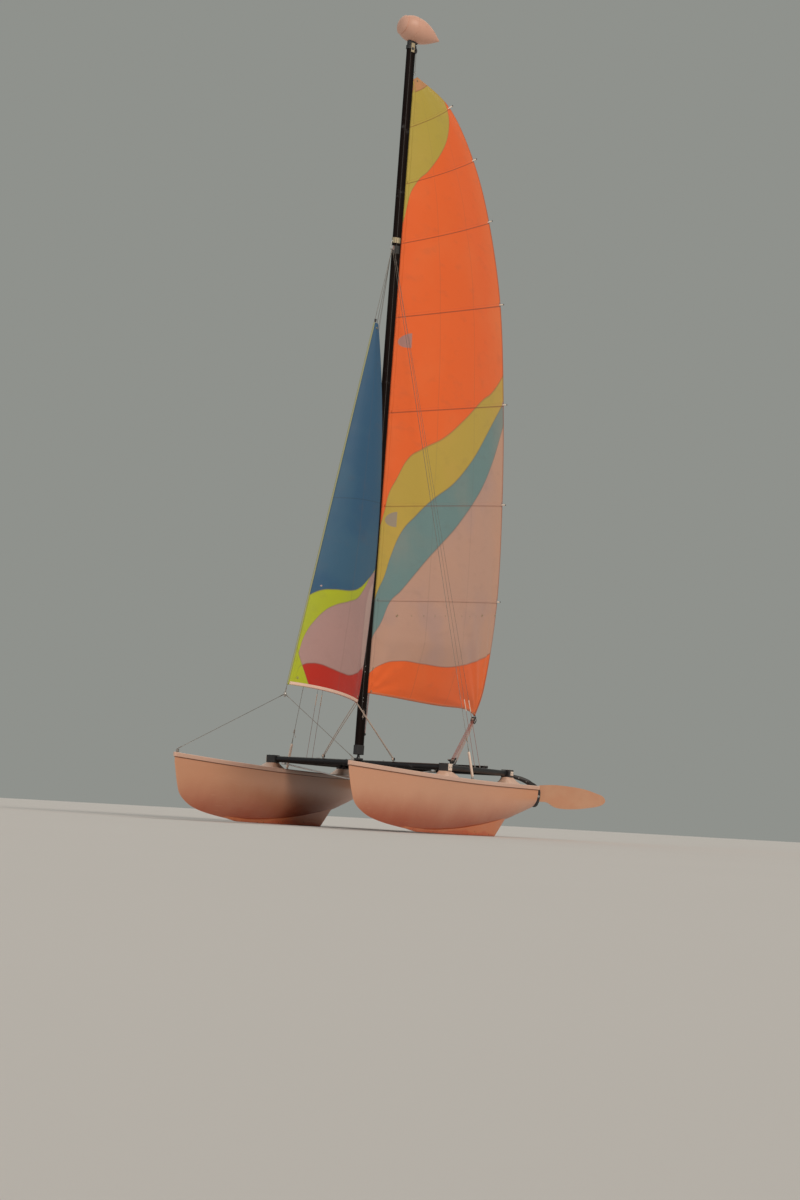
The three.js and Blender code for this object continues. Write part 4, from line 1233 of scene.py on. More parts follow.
def oval(long: float, wide: float, corner: float, count: int = 8) -> Points:
    """A rounded rectangle's outline about the origin.

    Args:
        long: Size along the first axis.
        wide: Size along the second axis.
        corner: Radius of the corners.
        count: Points in each corner.

    Returns:
        Points of two axes.
    """
    angles = np.linspace(0, math.pi / 2, count)
    spots = []
    for quarter, (sx, sy) in enumerate(((1, 1), (-1, 1), (-1, -1), (1, -1))):
        turn = angles + quarter * math.pi / 2
        spots.append(np.stack([sx * (long / 2 - corner) + corner * np.cos(turn),
                               sy * (wide / 2 - corner) + corner * np.sin(turn)], 1))
    return np.concatenate(spots)


def ribbon(name: str, line: Points, across: Points, width: float, edge: Pair = (-0.5, 0.5)) -> Piece:
    """A strip of cloth along a line, with its cut as UV: across, and metres along.

    Args:
        name: The piece's name.
        line: Points along the strip.
        across: Its direction across at each point.
        width: Its width.
        edge: Where its two edges lie, in widths from the line.

    Returns:
        The object.
    """
    line = np.asarray(line, float)
    across = np.broadcast_to(across, line.shape)
    shares = np.linspace(0, 1, 7)
    offsets = (edge[0] + (edge[1] - edge[0]) * shares) * width
    grid = line[:, None] + across[:, None] * offsets[None, :, None]
    run = np.concatenate([[0], np.cumsum(np.linalg.norm(np.diff(line, axis=0), axis=1))]) * MM
    return cloth(name, grid, shares, run[:, None])


# Hulls


@dataclass
class Hull(Assembly):
    """One hull: an asymmetric shell, a keel strip, a lipped deck and two feet for the frame."""

    side: Side
    length: float = HULL_LENGTH
    stem: float = 6.0
    lip_ahead: float = 12.0
    stern_sheer: float = 565.0
    bow_rise: float = 88.0
    rise_end: float = 3900.0
    stem_y: float = 985.0
    beam_y: float = 1190.0
    curve_end: float = 2600.0
    curve_power: float = 2.2
    keel_share: float = 0.6
    lip_out: float = 15.0
    lip_in: float = 12.0
    deck_depth: float = 45.0
    outboard_fullness: float = 3.4
    inboard_fullness: float = 2.5
    stations: tuple[Triple, ...] = (
        (6, 590, 978), (30, 530, 974), (80, 410, 969), (160, 285, 963), (300, 210, 952), (500, 147, 937),
        (780, 100, 920), (1100, 66, 906), (1500, 36, 894), (2000, 22, 887), (2600, 40, 885), (3300, 90, 895),
        (4190, 195, 935), (4600, 275, 975), (5000, 360, 1020))
    skeg: tuple[Triple, ...] = (
        (1250, 58, 5), (1650, 12, 11), (2200, 5, 14), (2800, 2, 14), (3400, 0, 14), (3910, 0, 13), (4190, 190, 9))
    feet: Pair = (50.0, -1860.0)
    foot_top: float = 682.7

    def sheer(self, aft: Any) -> Points:
        """Height of the sheer."""
        return self.stern_sheer + self.bow_rise * np.maximum(0, 1 - np.asarray(aft) / self.rise_end) ** 2

    def outboard(self, aft: Any) -> Points:
        """Distance of the outboard side from the centreline."""
        run = np.clip(np.asarray(aft) / self.curve_end, 0, 1)
        return self.stem_y + (self.beam_y - self.stem_y) * (1 - (1 - run) ** self.curve_power)

    def column(self, number: int, aft: Any) -> Points:
        """A column of the stations, read smoothly."""
        return through([row[0] for row in self.stations], [row[number] for row in self.stations], aft)

    def sided(self, points: Points) -> Points:
        """The points on this hull's side of the boat."""
        return np.asarray(points, float) * (1, self.side.value, 1)

    def build(self) -> None:
        """Makes the hull's pieces."""
        word = self.side.word
        self.put(self._shell(), HULL, replaces=(f"{word}_hull",))
        self.put(self._keel(), SKEG)
        self.put(self._deck(), DECK, replaces=(f"{word}_deck",))
        for end, bar_x in zip(("front", "rear"), self.feet):
            self.put(self._foot(end, bar_x), PLAIN, replaces=(f"{word}_{end}_pylon",))
        self._fittings()

    def _shell(self) -> Piece:
        """The hull below its sheer.

        Returns:
            The piece.
        """
        aft = self.stem + (self.length - self.stem) * np.linspace(0, 1, 110) ** 1.5
        inner, outer = self.column(2, aft), self.outboard(aft)
        keel, top = self.column(1, aft), self.sheer(aft)
        middle = inner + self.keel_share * (outer - inner)
        share = np.linspace(0, 1, 20) ** 1.25
        bilge = np.concatenate([share[:0:-1], share])
        sides = np.concatenate([np.full(19, 1), np.zeros(20, int)])
        rise = keel[:, None] + (top - keel)[:, None] * bilge
        inward = middle[:, None] + (inner - middle)[:, None] * (1 - (1 - bilge) ** self.inboard_fullness)
        outward = middle[:, None] + (outer - middle)[:, None] * (1 - (1 - bilge) ** self.outboard_fullness)
        y = np.where(sides == 1, inward, outward)
        grid = np.stack([np.broadcast_to((self.length / 2 - aft)[:, None], y.shape), y, rise], -1)
        return broken(solid(f"{self.side.word}_hull_shell", self.sided(grid), 50), 7, 3)

    def _keel(self) -> Piece:
        """The strip that runs out of the keel, rounded along its foot.

        Returns:
            The piece.
        """
        rows = np.array(self.skeg)
        aft = np.concatenate([np.linspace(rows[0, 0], 3910, 40), np.linspace(3935, rows[-1, 0], 10)])
        bottom = np.interp(aft, rows[:, 0], rows[:, 1])
        half = through(rows[:, 0], rows[:, 2], aft)
        y = self.column(2, aft) + self.keel_share * (self.outboard(aft) - self.column(2, aft))
        top = np.maximum(self.column(1, aft), bottom) + 22
        turn = np.linspace(0, math.pi, 9)
        sections = []
        for x, low, wide, mid, high in zip(aft, bottom, half, y, top):
            round_foot = [(mid - wide * math.cos(a), low + min(wide, 14) * (1 - math.sin(a))) for a in turn]
            flare = [(mid + wide * 1.9, high), (mid - wide * 1.9, high)]
            sections.append([(self.length / 2 - x, yy, zz) for yy, zz in round_foot + flare])
        return solid(f"{self.side.word}_keel_strip", self.sided(sections), 60)

    def _deck(self) -> Piece:
        """The deck moulding with its rolled lip and crowned top.

        Returns:
            The piece.
        """
        run = self.stem + (self.length - self.stem) * np.linspace(0, 1, 90) ** 1.4
        aft = np.concatenate([[-self.lip_ahead, -self.lip_ahead / 2, 0], run, [self.length + 8]])
        station = np.clip(aft, self.stem, self.length)
        inner, outer = self.column(2, station) - self.lip_in, self.outboard(station) + self.lip_out
        nose, ahead = np.clip((aft + self.lip_ahead) / (self.lip_ahead + self.stem), 0, 1), aft < self.stem
        inner = np.where(ahead, (self.stem_y - 9) + (inner - self.stem_y + 9) * nose, inner)
        outer = np.where(ahead, (self.stem_y + 9) + (outer - self.stem_y - 9) * nose, outer)
        low, high = self.sheer(aft), self.sheer(aft) + self.deck_depth
        roll = np.linspace(0, math.pi / 2, 6)
        crown = np.linspace(0, 1, 9)[1:-1]
        sections = []
        for x, a, b, z0, z1 in zip(aft, inner, outer, low + 0.3, high):
            r = min(12.0, (b - a) / 4)
            ring = [(a + 2, z0), (b - 2, z0), (b, z0 + 2)]
            ring += [(b - r + r * math.cos(t), z1 - r + r * math.sin(t)) for t in roll]
            ring += [(b - r + (a - b + 2 * r) * s, z1 + 3 * math.sin(math.pi * s) * min(1, (b - a) / 150))
                     for s in crown]
            ring += [(a + r - r * math.sin(t), z1 - r + r * math.cos(t)) for t in roll] + [(a, z0 + 2)]
            sections.append([(self.length / 2 - x, yy, zz) for yy, zz in ring])
        return broken(solid(f"{self.side.word}_deck_moulding", self.sided(sections), 40), 4, 3)

    def _foot(self, end: str, bar_x: float) -> Piece:
        """A hollow-flanked foot that swells out of the deck up to a corner casting.

        Args:
            end: Which end of the frame it carries.
            bar_x: Where the crossbar lies.

        Returns:
            The piece.
        """
        deck = float(self.sheer(self.length / 2 - bar_x)) + self.deck_depth
        levels = [*(deck + rise for rise in (-2, 3, 8, 16, 26, 36, 48)), 675, self.foot_top]
        knots = [deck - 2, deck + 6, deck + 35, self.foot_top]
        sections = []
        for z in levels:
            long, wide, aft, y = (float(through(knots, column, z)) for column in (
                (424, 404, 290, 192), (196, 180, 132, 98), (10, 8, 4, 0), (1050, 1050, 1046, 1035)))
            outline = oval(long, wide, min(long, wide) * 0.42, 10)
            sections.append([(bar_x - aft + x, y + dy, z) for x, dy in outline])
        return broken(solid(f"{self.side.word}_{end}_pylon_moulding", self.sided(sections), 50), 3, 3)

    def _fittings(self) -> None:
        """The bead under the lip, whose colour is partly painted shade under the lip, the drain plug and the towing
        eye at the bow.
        """
        word, half = self.side.word, self.length / 2
        aft = np.linspace(4, self.length - 6, 80)
        runs = [self.sided(np.stack([half - aft, y, self.sheer(aft) - 3.5], 1)) for y in (
            self.outboard(aft) + 2.2, self.column(2, np.clip(aft, self.stem, None)) - 2.2)]
        self.line(f"{word}_sheer_bead", runs, 3.4, LIP_SHADE_BEAD, 8)
        plug = [(self.sided([-half - 1.5, 1062, 395]), (-1, 0, 0))]
        self.fix(f"{word}_drain_plug", Fixing.PLUG, plug, (15, 7), BLACK)
        eye = self.sided(hoop((half - 3, 981.5, 662), (9, 0, 0), (0, 0, 9), 25))
        self.line(f"{word}_bow_eye", [eye], 2.2, STEEL, 8)


# Frame


@dataclass
class Platform(Assembly):
    """The frame between the hulls: castings, crossbars, side rails, striker and mast step."""

    front_x: float = 50.0
    rear_x: float = -1860.0
    height: float = 725.0
    rail_y: float = 1035.0
    bar_wide: float = 95.0
    bar_high: float = 66.0
    rail_wide: float = 46.0
    rail_high: float = 62.0
    casting: Triple = (130.0, 112.0, 84.0)
    reach: float = 1011.0
    striker_drop: float = 165.0
    striker_half: float = 900.0

    def build(self) -> None:
        """Makes the frame's pieces."""
        for end, x in (("front", self.front_x), ("rear", self.rear_x)):
            bar = self._tube(f"{end}_crossbar_tube", (x, 0, self.height), self.reach, self.bar_wide,
                             self.bar_high, 1)
            self.put(bar, BAR, replaces=(f"{end}_crossbar",))
        middle, half = (self.front_x + self.rear_x) / 2, (self.front_x - self.rear_x) / 2 - 50
        for side in Side:
            rail = self._tube(f"{side.word}_side_rail_tube", (middle, side.value * self.rail_y, self.height),
                              half, self.rail_wide, self.rail_high, 0)
            self.put(rail, RAIL, replaces=(f"{side.word}_side_rail",))
            for end, x in (("front", self.front_x), ("rear", self.rear_x)):
                self._corner(side, end, x)
        self._striker()
        self.dress("mast_step", "mast_step_casting", 2.5, CAST)
        bolts = [((self.front_x + dx, dy, 777), (0, 0, 1)) for dx in (-42, 42) for dy in (-26, 26)]
        self.fix("mast_step_bolts", Fixing.BOLT, bolts, (7, 5), STEEL)

    def _tube(self, name: str, centre: Any, half: float, wide: float, high: float, axis: int) -> Piece:
        """An oval tube along X or Y.

        Args:
            name: The piece's name.
            centre: Its middle.
            half: Half its length.
            wide: Level width.
            high: Height.
            axis: 0 along X, 1 along Y.

        Returns:
            The piece.
        """
        turn = np.linspace(0, 2 * math.pi, 48, endpoint=False)
        squared = 0.86
        across = np.sign(np.cos(turn)) * np.abs(np.cos(turn)) ** squared * wide / 2
        up = np.sign(np.sin(turn)) * np.abs(np.sin(turn)) ** squared * high / 2
        sections = []
        for run in (-half, half):
            section = np.zeros((48, 3)) + np.asarray(centre, float)
            section[:, axis] += run
            section[:, 1 - axis] += across
            section[:, 2] += up
            sections.append(section)
        return solid(name, sections)

    def _corner(self, side: Side, end: str, x: float) -> None:
        """A corner casting with its bolts and its pale end cap.

        Args:
            side: The side of the boat.
            end: The end of the frame.
            x: Where the crossbar lies.
        """
        word, sign = f"{side.word}_{end}", side.value
        self.dress(f"{word}_casting", f"{word}_corner_casting", 7, CAST)
        outboard = self.rail_y + self.casting[1] / 2
        long, high = (52, 37) if end == "front" else (42, 23)
        cap = boxes(f"{word}_end_cap", [((x - long, sign * (outboard - 2), self.height - high),
                                         (x + long, sign * (outboard + 5), self.height + high))], 3)
        self.put(cap, WHITE)
        top = self.height + self.casting[2] / 2
        spots = [((x + dx, sign * (self.rail_y + dy), top), (0, 0, 1)) for dx in (-40, 40) for dy in (-30, 30)]
        spots += [((x + dx, sign * (outboard + 5), self.height), (0, sign, 0)) for dx in (-26, 26)]
        self.fix(f"{word}_casting_bolts", Fixing.BOLT, spots, (6.5, 4.5), STEEL)

    def _striker(self) -> None:
        """The bent rod and post under the front crossbar."""
        under = self.height - self.bar_high / 2
        foot = np.array([self.front_x, 0, under - self.striker_drop])
        runs = [between(foot, (self.front_x, s * self.striker_half, under - 13), 24) for s in (1, -1)]
        for run in runs:
            run[:4, 2] += np.array([5.0, 3.0, 1.2, 0.3])
        runs.append(between(foot - (0, 0, 12), (self.front_x, 0, under + 1), 8))
        self.line("dolphin_striker_rod", runs, [7.0, 7.0, (10, 15, 16, 16, 15, 15, 15, 19)], STEEL, 16,
                  replaces=("dolphin_striker",))
        lugs = [((self.front_x - 20, s * self.striker_half - 20, under - 24),
                 (self.front_x + 20, s * self.striker_half + 20, under - 0.2)) for s in (1, -1)]
        self.put(boxes("dolphin_striker_lugs", lugs, 3), STEEL)


@dataclass
class Trampoline(Assembly):
    """Two panels of mesh laced along the middle and round the frame, with coated borders and straps."""

    height: float = 728.0
    front_x: float = 2.0
    rear_x: float = -1812.0
    half: float = 1006.0
    border: float = 62.0
    sag: float = 9.0

    def _drop(self, x: Any, y: Any) -> Points:
        """How far the mesh sags at a place.

        Args:
            x: Places along the boat.
            y: Places across it.

        Returns:
            Millimetres.
        """
        u = (np.asarray(x) - self.rear_x) / (self.front_x - self.rear_x)
        v = np.asarray(y) / (2 * self.half) + 0.5
        return self.sag * 16 * u * (1 - u) * v * (1 - v)

    def _panel(self, side: Side) -> Piece:
        """One panel, drawn tight between the bars and sagging a little.

        Args:
            side: The side of the boat.

        Returns:
            The piece.
        """
        x = np.linspace(self.front_x - 14, self.rear_x + 14, 61)[:, None]
        y = side.value * np.linspace(9, self.half - 14, 33)[None, :]
        grid = np.stack(np.broadcast_arrays(x, y, self.height - self._drop(x, y)), -1)
        return cloth(f"trampoline_{side.word}_panel", grid, y * MM, x * MM)

    def _edge(self, side: Side, number: int) -> Piece:
        """One border of a panel, sewn over its edge.

        Args:
            side: The side of the boat.
            number: 0 at the front, 1 at the rail, 2 at the back, 3 along the middle.

        Returns:
            The piece.
        """
        s, near, far, out = side.value, self.front_x - 12, self.rear_x + 12, self.half - 12
        corners = ((near, 10), (near, out), (far, out), (far, 10))
        first, last = corners[number], corners[(number + 1) % 4]
        line = between((first[0], s * first[1], 0), (last[0], s * last[1], 0), 40)
        inward = np.array(((-1, 0, 0), (0, -s, 0), (1, 0, 0), (0, s, 0))[number], float)
        spot = line + inward * self.border / 2
        line[:, 2] = self.height + 1.6 - self._drop(spot[:, 0], spot[:, 1])
        return thick(ribbon(f"trampoline_{side.word}_border_{number}", line, inward, self.border, (0, 1)), 5)

    def _lacing(self) -> None:
        """Eyelets along the borders and the cord that draws the panels to the bars and together."""
        eyes, runs, zigzag = [], [], []
        for i, x in enumerate(np.linspace(self.front_x - 50, self.rear_x + 50, 26)):
            s, z = (1 if i % 2 else -1), self.height - float(self._drop(x, 0)) + 5
            eyes += [((x, 24, z), (0, 0, 1)), ((x, -24, z), (0, 0, 1))]
            zigzag += [(x, s * 24, z + 1), (x, s * 8, z + 3), (x - 18, -s * 8, z + 3)]
        runs.append(np.array(zigzag))
        for s in (1, -1):
            wave = []
            for x in np.linspace(self.front_x - 60, self.rear_x + 60, 22):
                eyes.append(((x, s * (self.half - 26), self.height + 4), (0, 0, 1)))
                wave += [(x + 22, s * (self.half + 4), self.height + 8), (x, s * (self.half - 26), self.height + 6),
                         (x - 22, s * (self.half + 4), self.height + 8)]
            runs.append(np.array(wave))
        for x, away in ((self.rear_x, -1), (self.front_x, 1)):
            wave = []
            for y in np.linspace(-self.half + 70, self.half - 70, 28):
                eyes.append(((x - away * 24, y, self.height + 4), (0, 0, 1)))
                wave += [(x + away * 2, y - 14, self.height + 8), (x - away * 24, y, self.height + 6),
                         (x + away * 2, y + 14, self.height + 8)]
            runs.append(np.array(wave))
        self.fix("trampoline_eyelets", Fixing.EYELET, eyes, (6.5, 2.2), EYELET)
        self.line("trampoline_lacing", runs, 2.4, BLACK_ROPE, 6)

    def build(self) -> None:
        """Makes the trampoline's pieces."""
        for side in Side:
            panel = self.put(thick(self._panel(side), 3), MESH,
                             replaces=("trampoline",) if side is Side.PORT else ())
            edges = [self.put(self._edge(side, number), BORDER) for number in range(4)]
            share = np.linspace(0, 1, 50)
            rise = 2 + 26 * np.sin(math.pi * share) ** 0.6 - 6 * np.sin(math.pi * share)
            line = np.stack([self.front_x - 40 + share * (self.rear_x - self.front_x + 80),
                             np.full(50, side.value * 330.0), self.height + rise], 1)
            self.put(thick(ribbon(f"{side.word}_toe_strap", line, (0, 1, 0), 50), 4), STRAP)
        self._lacing()


# Rig


@dataclass
class Rig:
    """The rig's own frame: origin at the mast's ball, up the mast, and its turns to port of aft."""

    step: Triple = (50.0, 0.0, 800.0)
    rake: float = math.radians(2.5)
    mast_turn: float = math.radians(35)
    bridle_apex: Triple = (2020.0, 0.0, 1360.0)
    hounds_up: float = 5700.0
    apex_ahead: float = 110.0

    def to_boat(self, points: Any) -> Points:
        """Rig millimetres turned into boat millimetres.

        Args:
            points: Points ahead, to port and up of the mast's ball.

        Returns:
            Boat points.
        """
        p = np.asarray(points, float)
        c, s = math.cos(self.rake), math.sin(self.rake)
        return np.stack([p[..., 0] * c - p[..., 2] * s, p[..., 1], p[..., 0] * s + p[..., 2] * c], -1) + self.step

    def from_luff(self, reach: Any, up: Any, turn: Any, side: Any = 0.0) -> Points:
        """The boat point that lies so far aft, up and to port when the sail is turned this much.

        Args:
            reach: Distances aft of the mast's axis.
            up: Heights up the mast.
            turn: Turns to port, in radians.
            side: Distances to port of the turned sail.

        Returns:
            Boat points.
        """
        reach, up, turn, side = np.broadcast_arrays(*(np.asarray(a, float) for a in (reach, up, turn, side)))
        return self.to_boat(np.stack([-reach * np.cos(turn) + side * np.sin(turn),
                                      reach * np.sin(turn) + side * np.cos(turn), up], -1))

    @property
    def apex(self) -> Points:
        """Where the stays meet ahead of the mast."""
        return self.to_boat((self.apex_ahead, 0, self.hounds_up))


@dataclass
class Spar(Assembly):
    """The turning mast with its groove, fittings and halyards, and the float at its head."""

    BODY = "mast"
    rig: Rig
    length: float = 8080.0
    long: float = 112.0
    wide: float = 66.0
    foot: float = 16.3
    groove: float = 7.0
    float_long: float = 550.0
    float_radius: float = 148.0
    float_aft: float = 51.0
    float_droop: float = math.radians(9)
    cleat_up: float = 460.0
    float_profile: tuple[Pair, ...] = (
        (0, 0), (0.02, 0.34), (0.07, 0.62), (0.16, 0.87), (0.3, 1), (0.45, 0.98), (0.62, 0.82), (0.78, 0.55),
        (0.91, 0.24), (0.97, 0.1), (1, 0))

    def at(self, x: Any, y: Any, up: Any) -> Points:
        """The boat point for a place on the turned mast: ahead, to port and up of its axis."""
        return self.rig.from_luff(-np.asarray(x, float), up, self.rig.mast_turn, y)

    def _collar(self, name: str, outline: Points, low: float, high: float, edge: float) -> Piece:
        """A body that follows an outline about the mast's axis, from low to high up the mast."""
        return broken(solid(name, [self.at(outline[:, 0], outline[:, 1], up) for up in (low, high)]), edge)

    def build(self) -> None:
        """Makes the mast's pieces."""
        turn = np.linspace(-math.pi + 0.16, math.pi - 0.16, 60)
        rim = np.stack([np.cos(turn) * self.long / 2, np.sin(turn) * self.wide / 2], 1)
        deep = -self.long / 2 + 2 * self.groove
        slot = [(rim[-1, 0] + 4, 2.2), (deep, 4.0), (deep + 5, 0), (deep, -4.0), (rim[0, 0] + 4, -2.2)]
        section = np.concatenate([rim, np.array(slot)])
        tube = solid("mast_tube", [self.at(section[:, 0], section[:, 1], up)
                                   for up in np.linspace(self.foot, self.length, 9)], 28)
        self.put(tube, SPAR, ("mast",))
        self._head()
        self._float()
        self._fittings()
        self._running()

    def _head(self) -> None:
        """The crane at the masthead, its sheave, side plate and pin, and the band at the hounds."""
        self.dress("masthead_bracket", "masthead_crane", 9, CAST)
        self.dress("hounds_tang", "hounds_wrap", 0.8, CAST)
        near = self.wide / 2 + 3
        plate = np.array([(-22, near), (22, near), (22, near + 4), (-22, near + 4)])
        self.put(self._collar("masthead_side_plate", plate, 7996, 8104, 1.5), EYELET)
        pin = (self.at(2, near + 4, 8036), self.at(2, 60, 0) - self.at(2, 0, 0))
        self.fix("masthead_plate_pins", Fixing.PLUG, [pin], (11, 3), BLACK)
        sheave = self.at([-26] * 6, [-15, -13, -4, 4, 13, 15], 8030)
        self.line("masthead_sheave", [sheave], (44, 50, 46, 46, 50, 44), CAST, 28)
        turn = np.linspace(-math.pi + 1.1, math.pi - 1.1, 40)
        band = [np.stack([np.cos(turn) * (self.long / 2 + out), np.sin(turn) * (self.wide / 2 + out)], 1)
                for out in (1.0, 4.2)]
        outline = np.concatenate([band[0], band[1][::-1]])
        self.put(self._collar("hounds_band", outline, 5776, 5838, 0.8), EYELET)
        tang = self.at([self.long / 2 + 1, self.long / 2 + 12, self.rig.apex_ahead - 30], 0, [5800, 5786, 5722])
        self.line("hounds_tang_link", [tang], (9, 7, 6), STEEL, 12)

    def _float(self) -> None:
        """The teardrop float, a body turned about its own axis, its radius a rule along its length."""
        share = np.concatenate([(1 - np.cos(np.linspace(0, math.pi / 2, 16))) * 0.3, np.linspace(0.3, 1, 44)[1:]])
        knots = np.array(self.float_profile)
        radius = through(knots[:, 0], knots[:, 1], share) * self.float_radius
        radius[:8] = self.float_radius * 0.87 * np.sqrt(np.clip(1 - (1 - share[:8] / 0.16) ** 2, 0, 1)) ** 0.9
        radius[[0, -1]] = 0.4
        along = (share - 0.42) * self.float_long
        c, s = math.cos(self.float_droop), math.sin(self.float_droop)
        middle = self.length + self.float_radius + 40
        body = self.shop.lines("masthead_float_shell", [self.at(-self.float_aft - along * c, 0, middle - along * s)],
                               radius, FLOAT, 48)
        self.put(smooth(body, 60), FLOAT, ("masthead_float",))
        turn, mid = np.linspace(0, 2 * math.pi, 73), (0.33 - 0.42) * self.float_long
        across, rise = self.float_radius * 1.001 * np.sin(turn), self.float_radius * 1.001 * np.cos(turn)
        seam = self.at(-self.float_aft - mid * c - rise * s, across, middle - mid * s + rise * c)
        self.line("masthead_float_seam", [seam], 2.2, FLOAT, 6)
        clasp = self.at([-self.float_aft - 20, -self.float_aft + 20], 0, middle - self.float_radius + 1)
        self.line("masthead_float_clasp", [clasp], 17.0, CAST, 16)

    def _fittings(self) -> None:
        """The sleeves at the foot and the head, the rivets, and the cleats for the halyards."""
        outline = oval(self.long + 10, self.wide + 8, 32, 10)
        keep = outline[outline[:, 0] > -self.long / 2 + 4]
        self.put(self._collar("mast_foot_sleeve", keep, self.foot - 1, 120, 3), CAST)
        self.put(self._collar("mast_head_sleeve", outline, self.length - 46, self.length - 1, 3), CAST)
        rivets = []
        for up in (50, 100, 600, 640, 930, 990, 5662, 5700, 5738, self.length - 24):
            for y in (1, -1):
                spot = self.at(12, y * self.wide / 2 * 0.98, up)
                rivets.append((spot, self.at(12, y * 60, up) - spot))
        self.fix("mast_rivets", Fixing.SCREW, rivets, (3.4, 2.2), STEEL)
        horns, bosses = [], []
        for y in (1, -1):
            face = y * (self.wide / 2 + 1)
            horns.append(self.at([8, 6, 4, 2, 0], face + y * np.array([10, 13, 14, 13, 10]),
                                 self.cleat_up + np.array([-62, -30, 0, 30, 62.0])))
            bosses.append(self.at(4, face + y * np.array([-5, 13]), self.cleat_up))
        self.line("mast_cleats", horns, (3, 5, 7, 5, 3), BLACK)
        self.line("mast_cleat_bosses", bosses, 9.0, BLACK, 12)

    def _running(self) -> None:
        """Halyards with their turns, the head wire with its shackle, and the downhaul at the tack."""
        ups = np.linspace(500, self.length - 60, 60)
        sway = 4 * np.sin(ups / 900)
        main = self.at(22 + sway, self.wide / 2 + 5, ups)
        jib_line = self.at(26 + sway[:42], -self.wide / 2 - 5, ups[:42])
        self.line("halyards", [main, jib_line], 2.5, BLACK_ROPE, 8)
        turn = np.linspace(0, 10 * math.pi, 120)
        wound = [self.at(6 + 8 * np.sin(turn * 2), y * (self.wide / 2 + 14 + 5 * np.cos(turn * 2) + turn * 0.12),
                         self.cleat_up + 42 * np.sin(turn)) for y in (1, -1)]
        self.line("halyard_turns", wound, 2.5, WHITE_ROPE, 8)
        head = self.rig.from_luff(108, 7768, math.radians(13))
        top = self.at(-69, 0, 8000)
        self.line("main_halyard_wire", [between(top, head + unit(top - head) * 34, 8)], 2.0, WIRE, 8)
        turn = np.linspace(0.35, 2 * math.pi - 0.35, 18)
        ring = head + np.stack([0 * turn, 11 * np.sin(turn), 18 - 22 * np.cos(turn)], 1)
        self.line("main_head_shackle", [ring], 3.2, STEEL, 8)
        tack = self.rig.from_luff(84, 730, math.radians(24))
        falls = [between(tack + (0, dy, 0), self.at(-self.long / 2 + 4, dy * 2, 250 + abs(dy)), 10)
                 for dy in (-9, 0, 9)]
        self.line("downhaul", falls, 3.0, RED_ROPE, 8)
        self.line("downhaul_block", [self.at(-52, [-16, 16], 244)], 15.0, BLACK, 18)


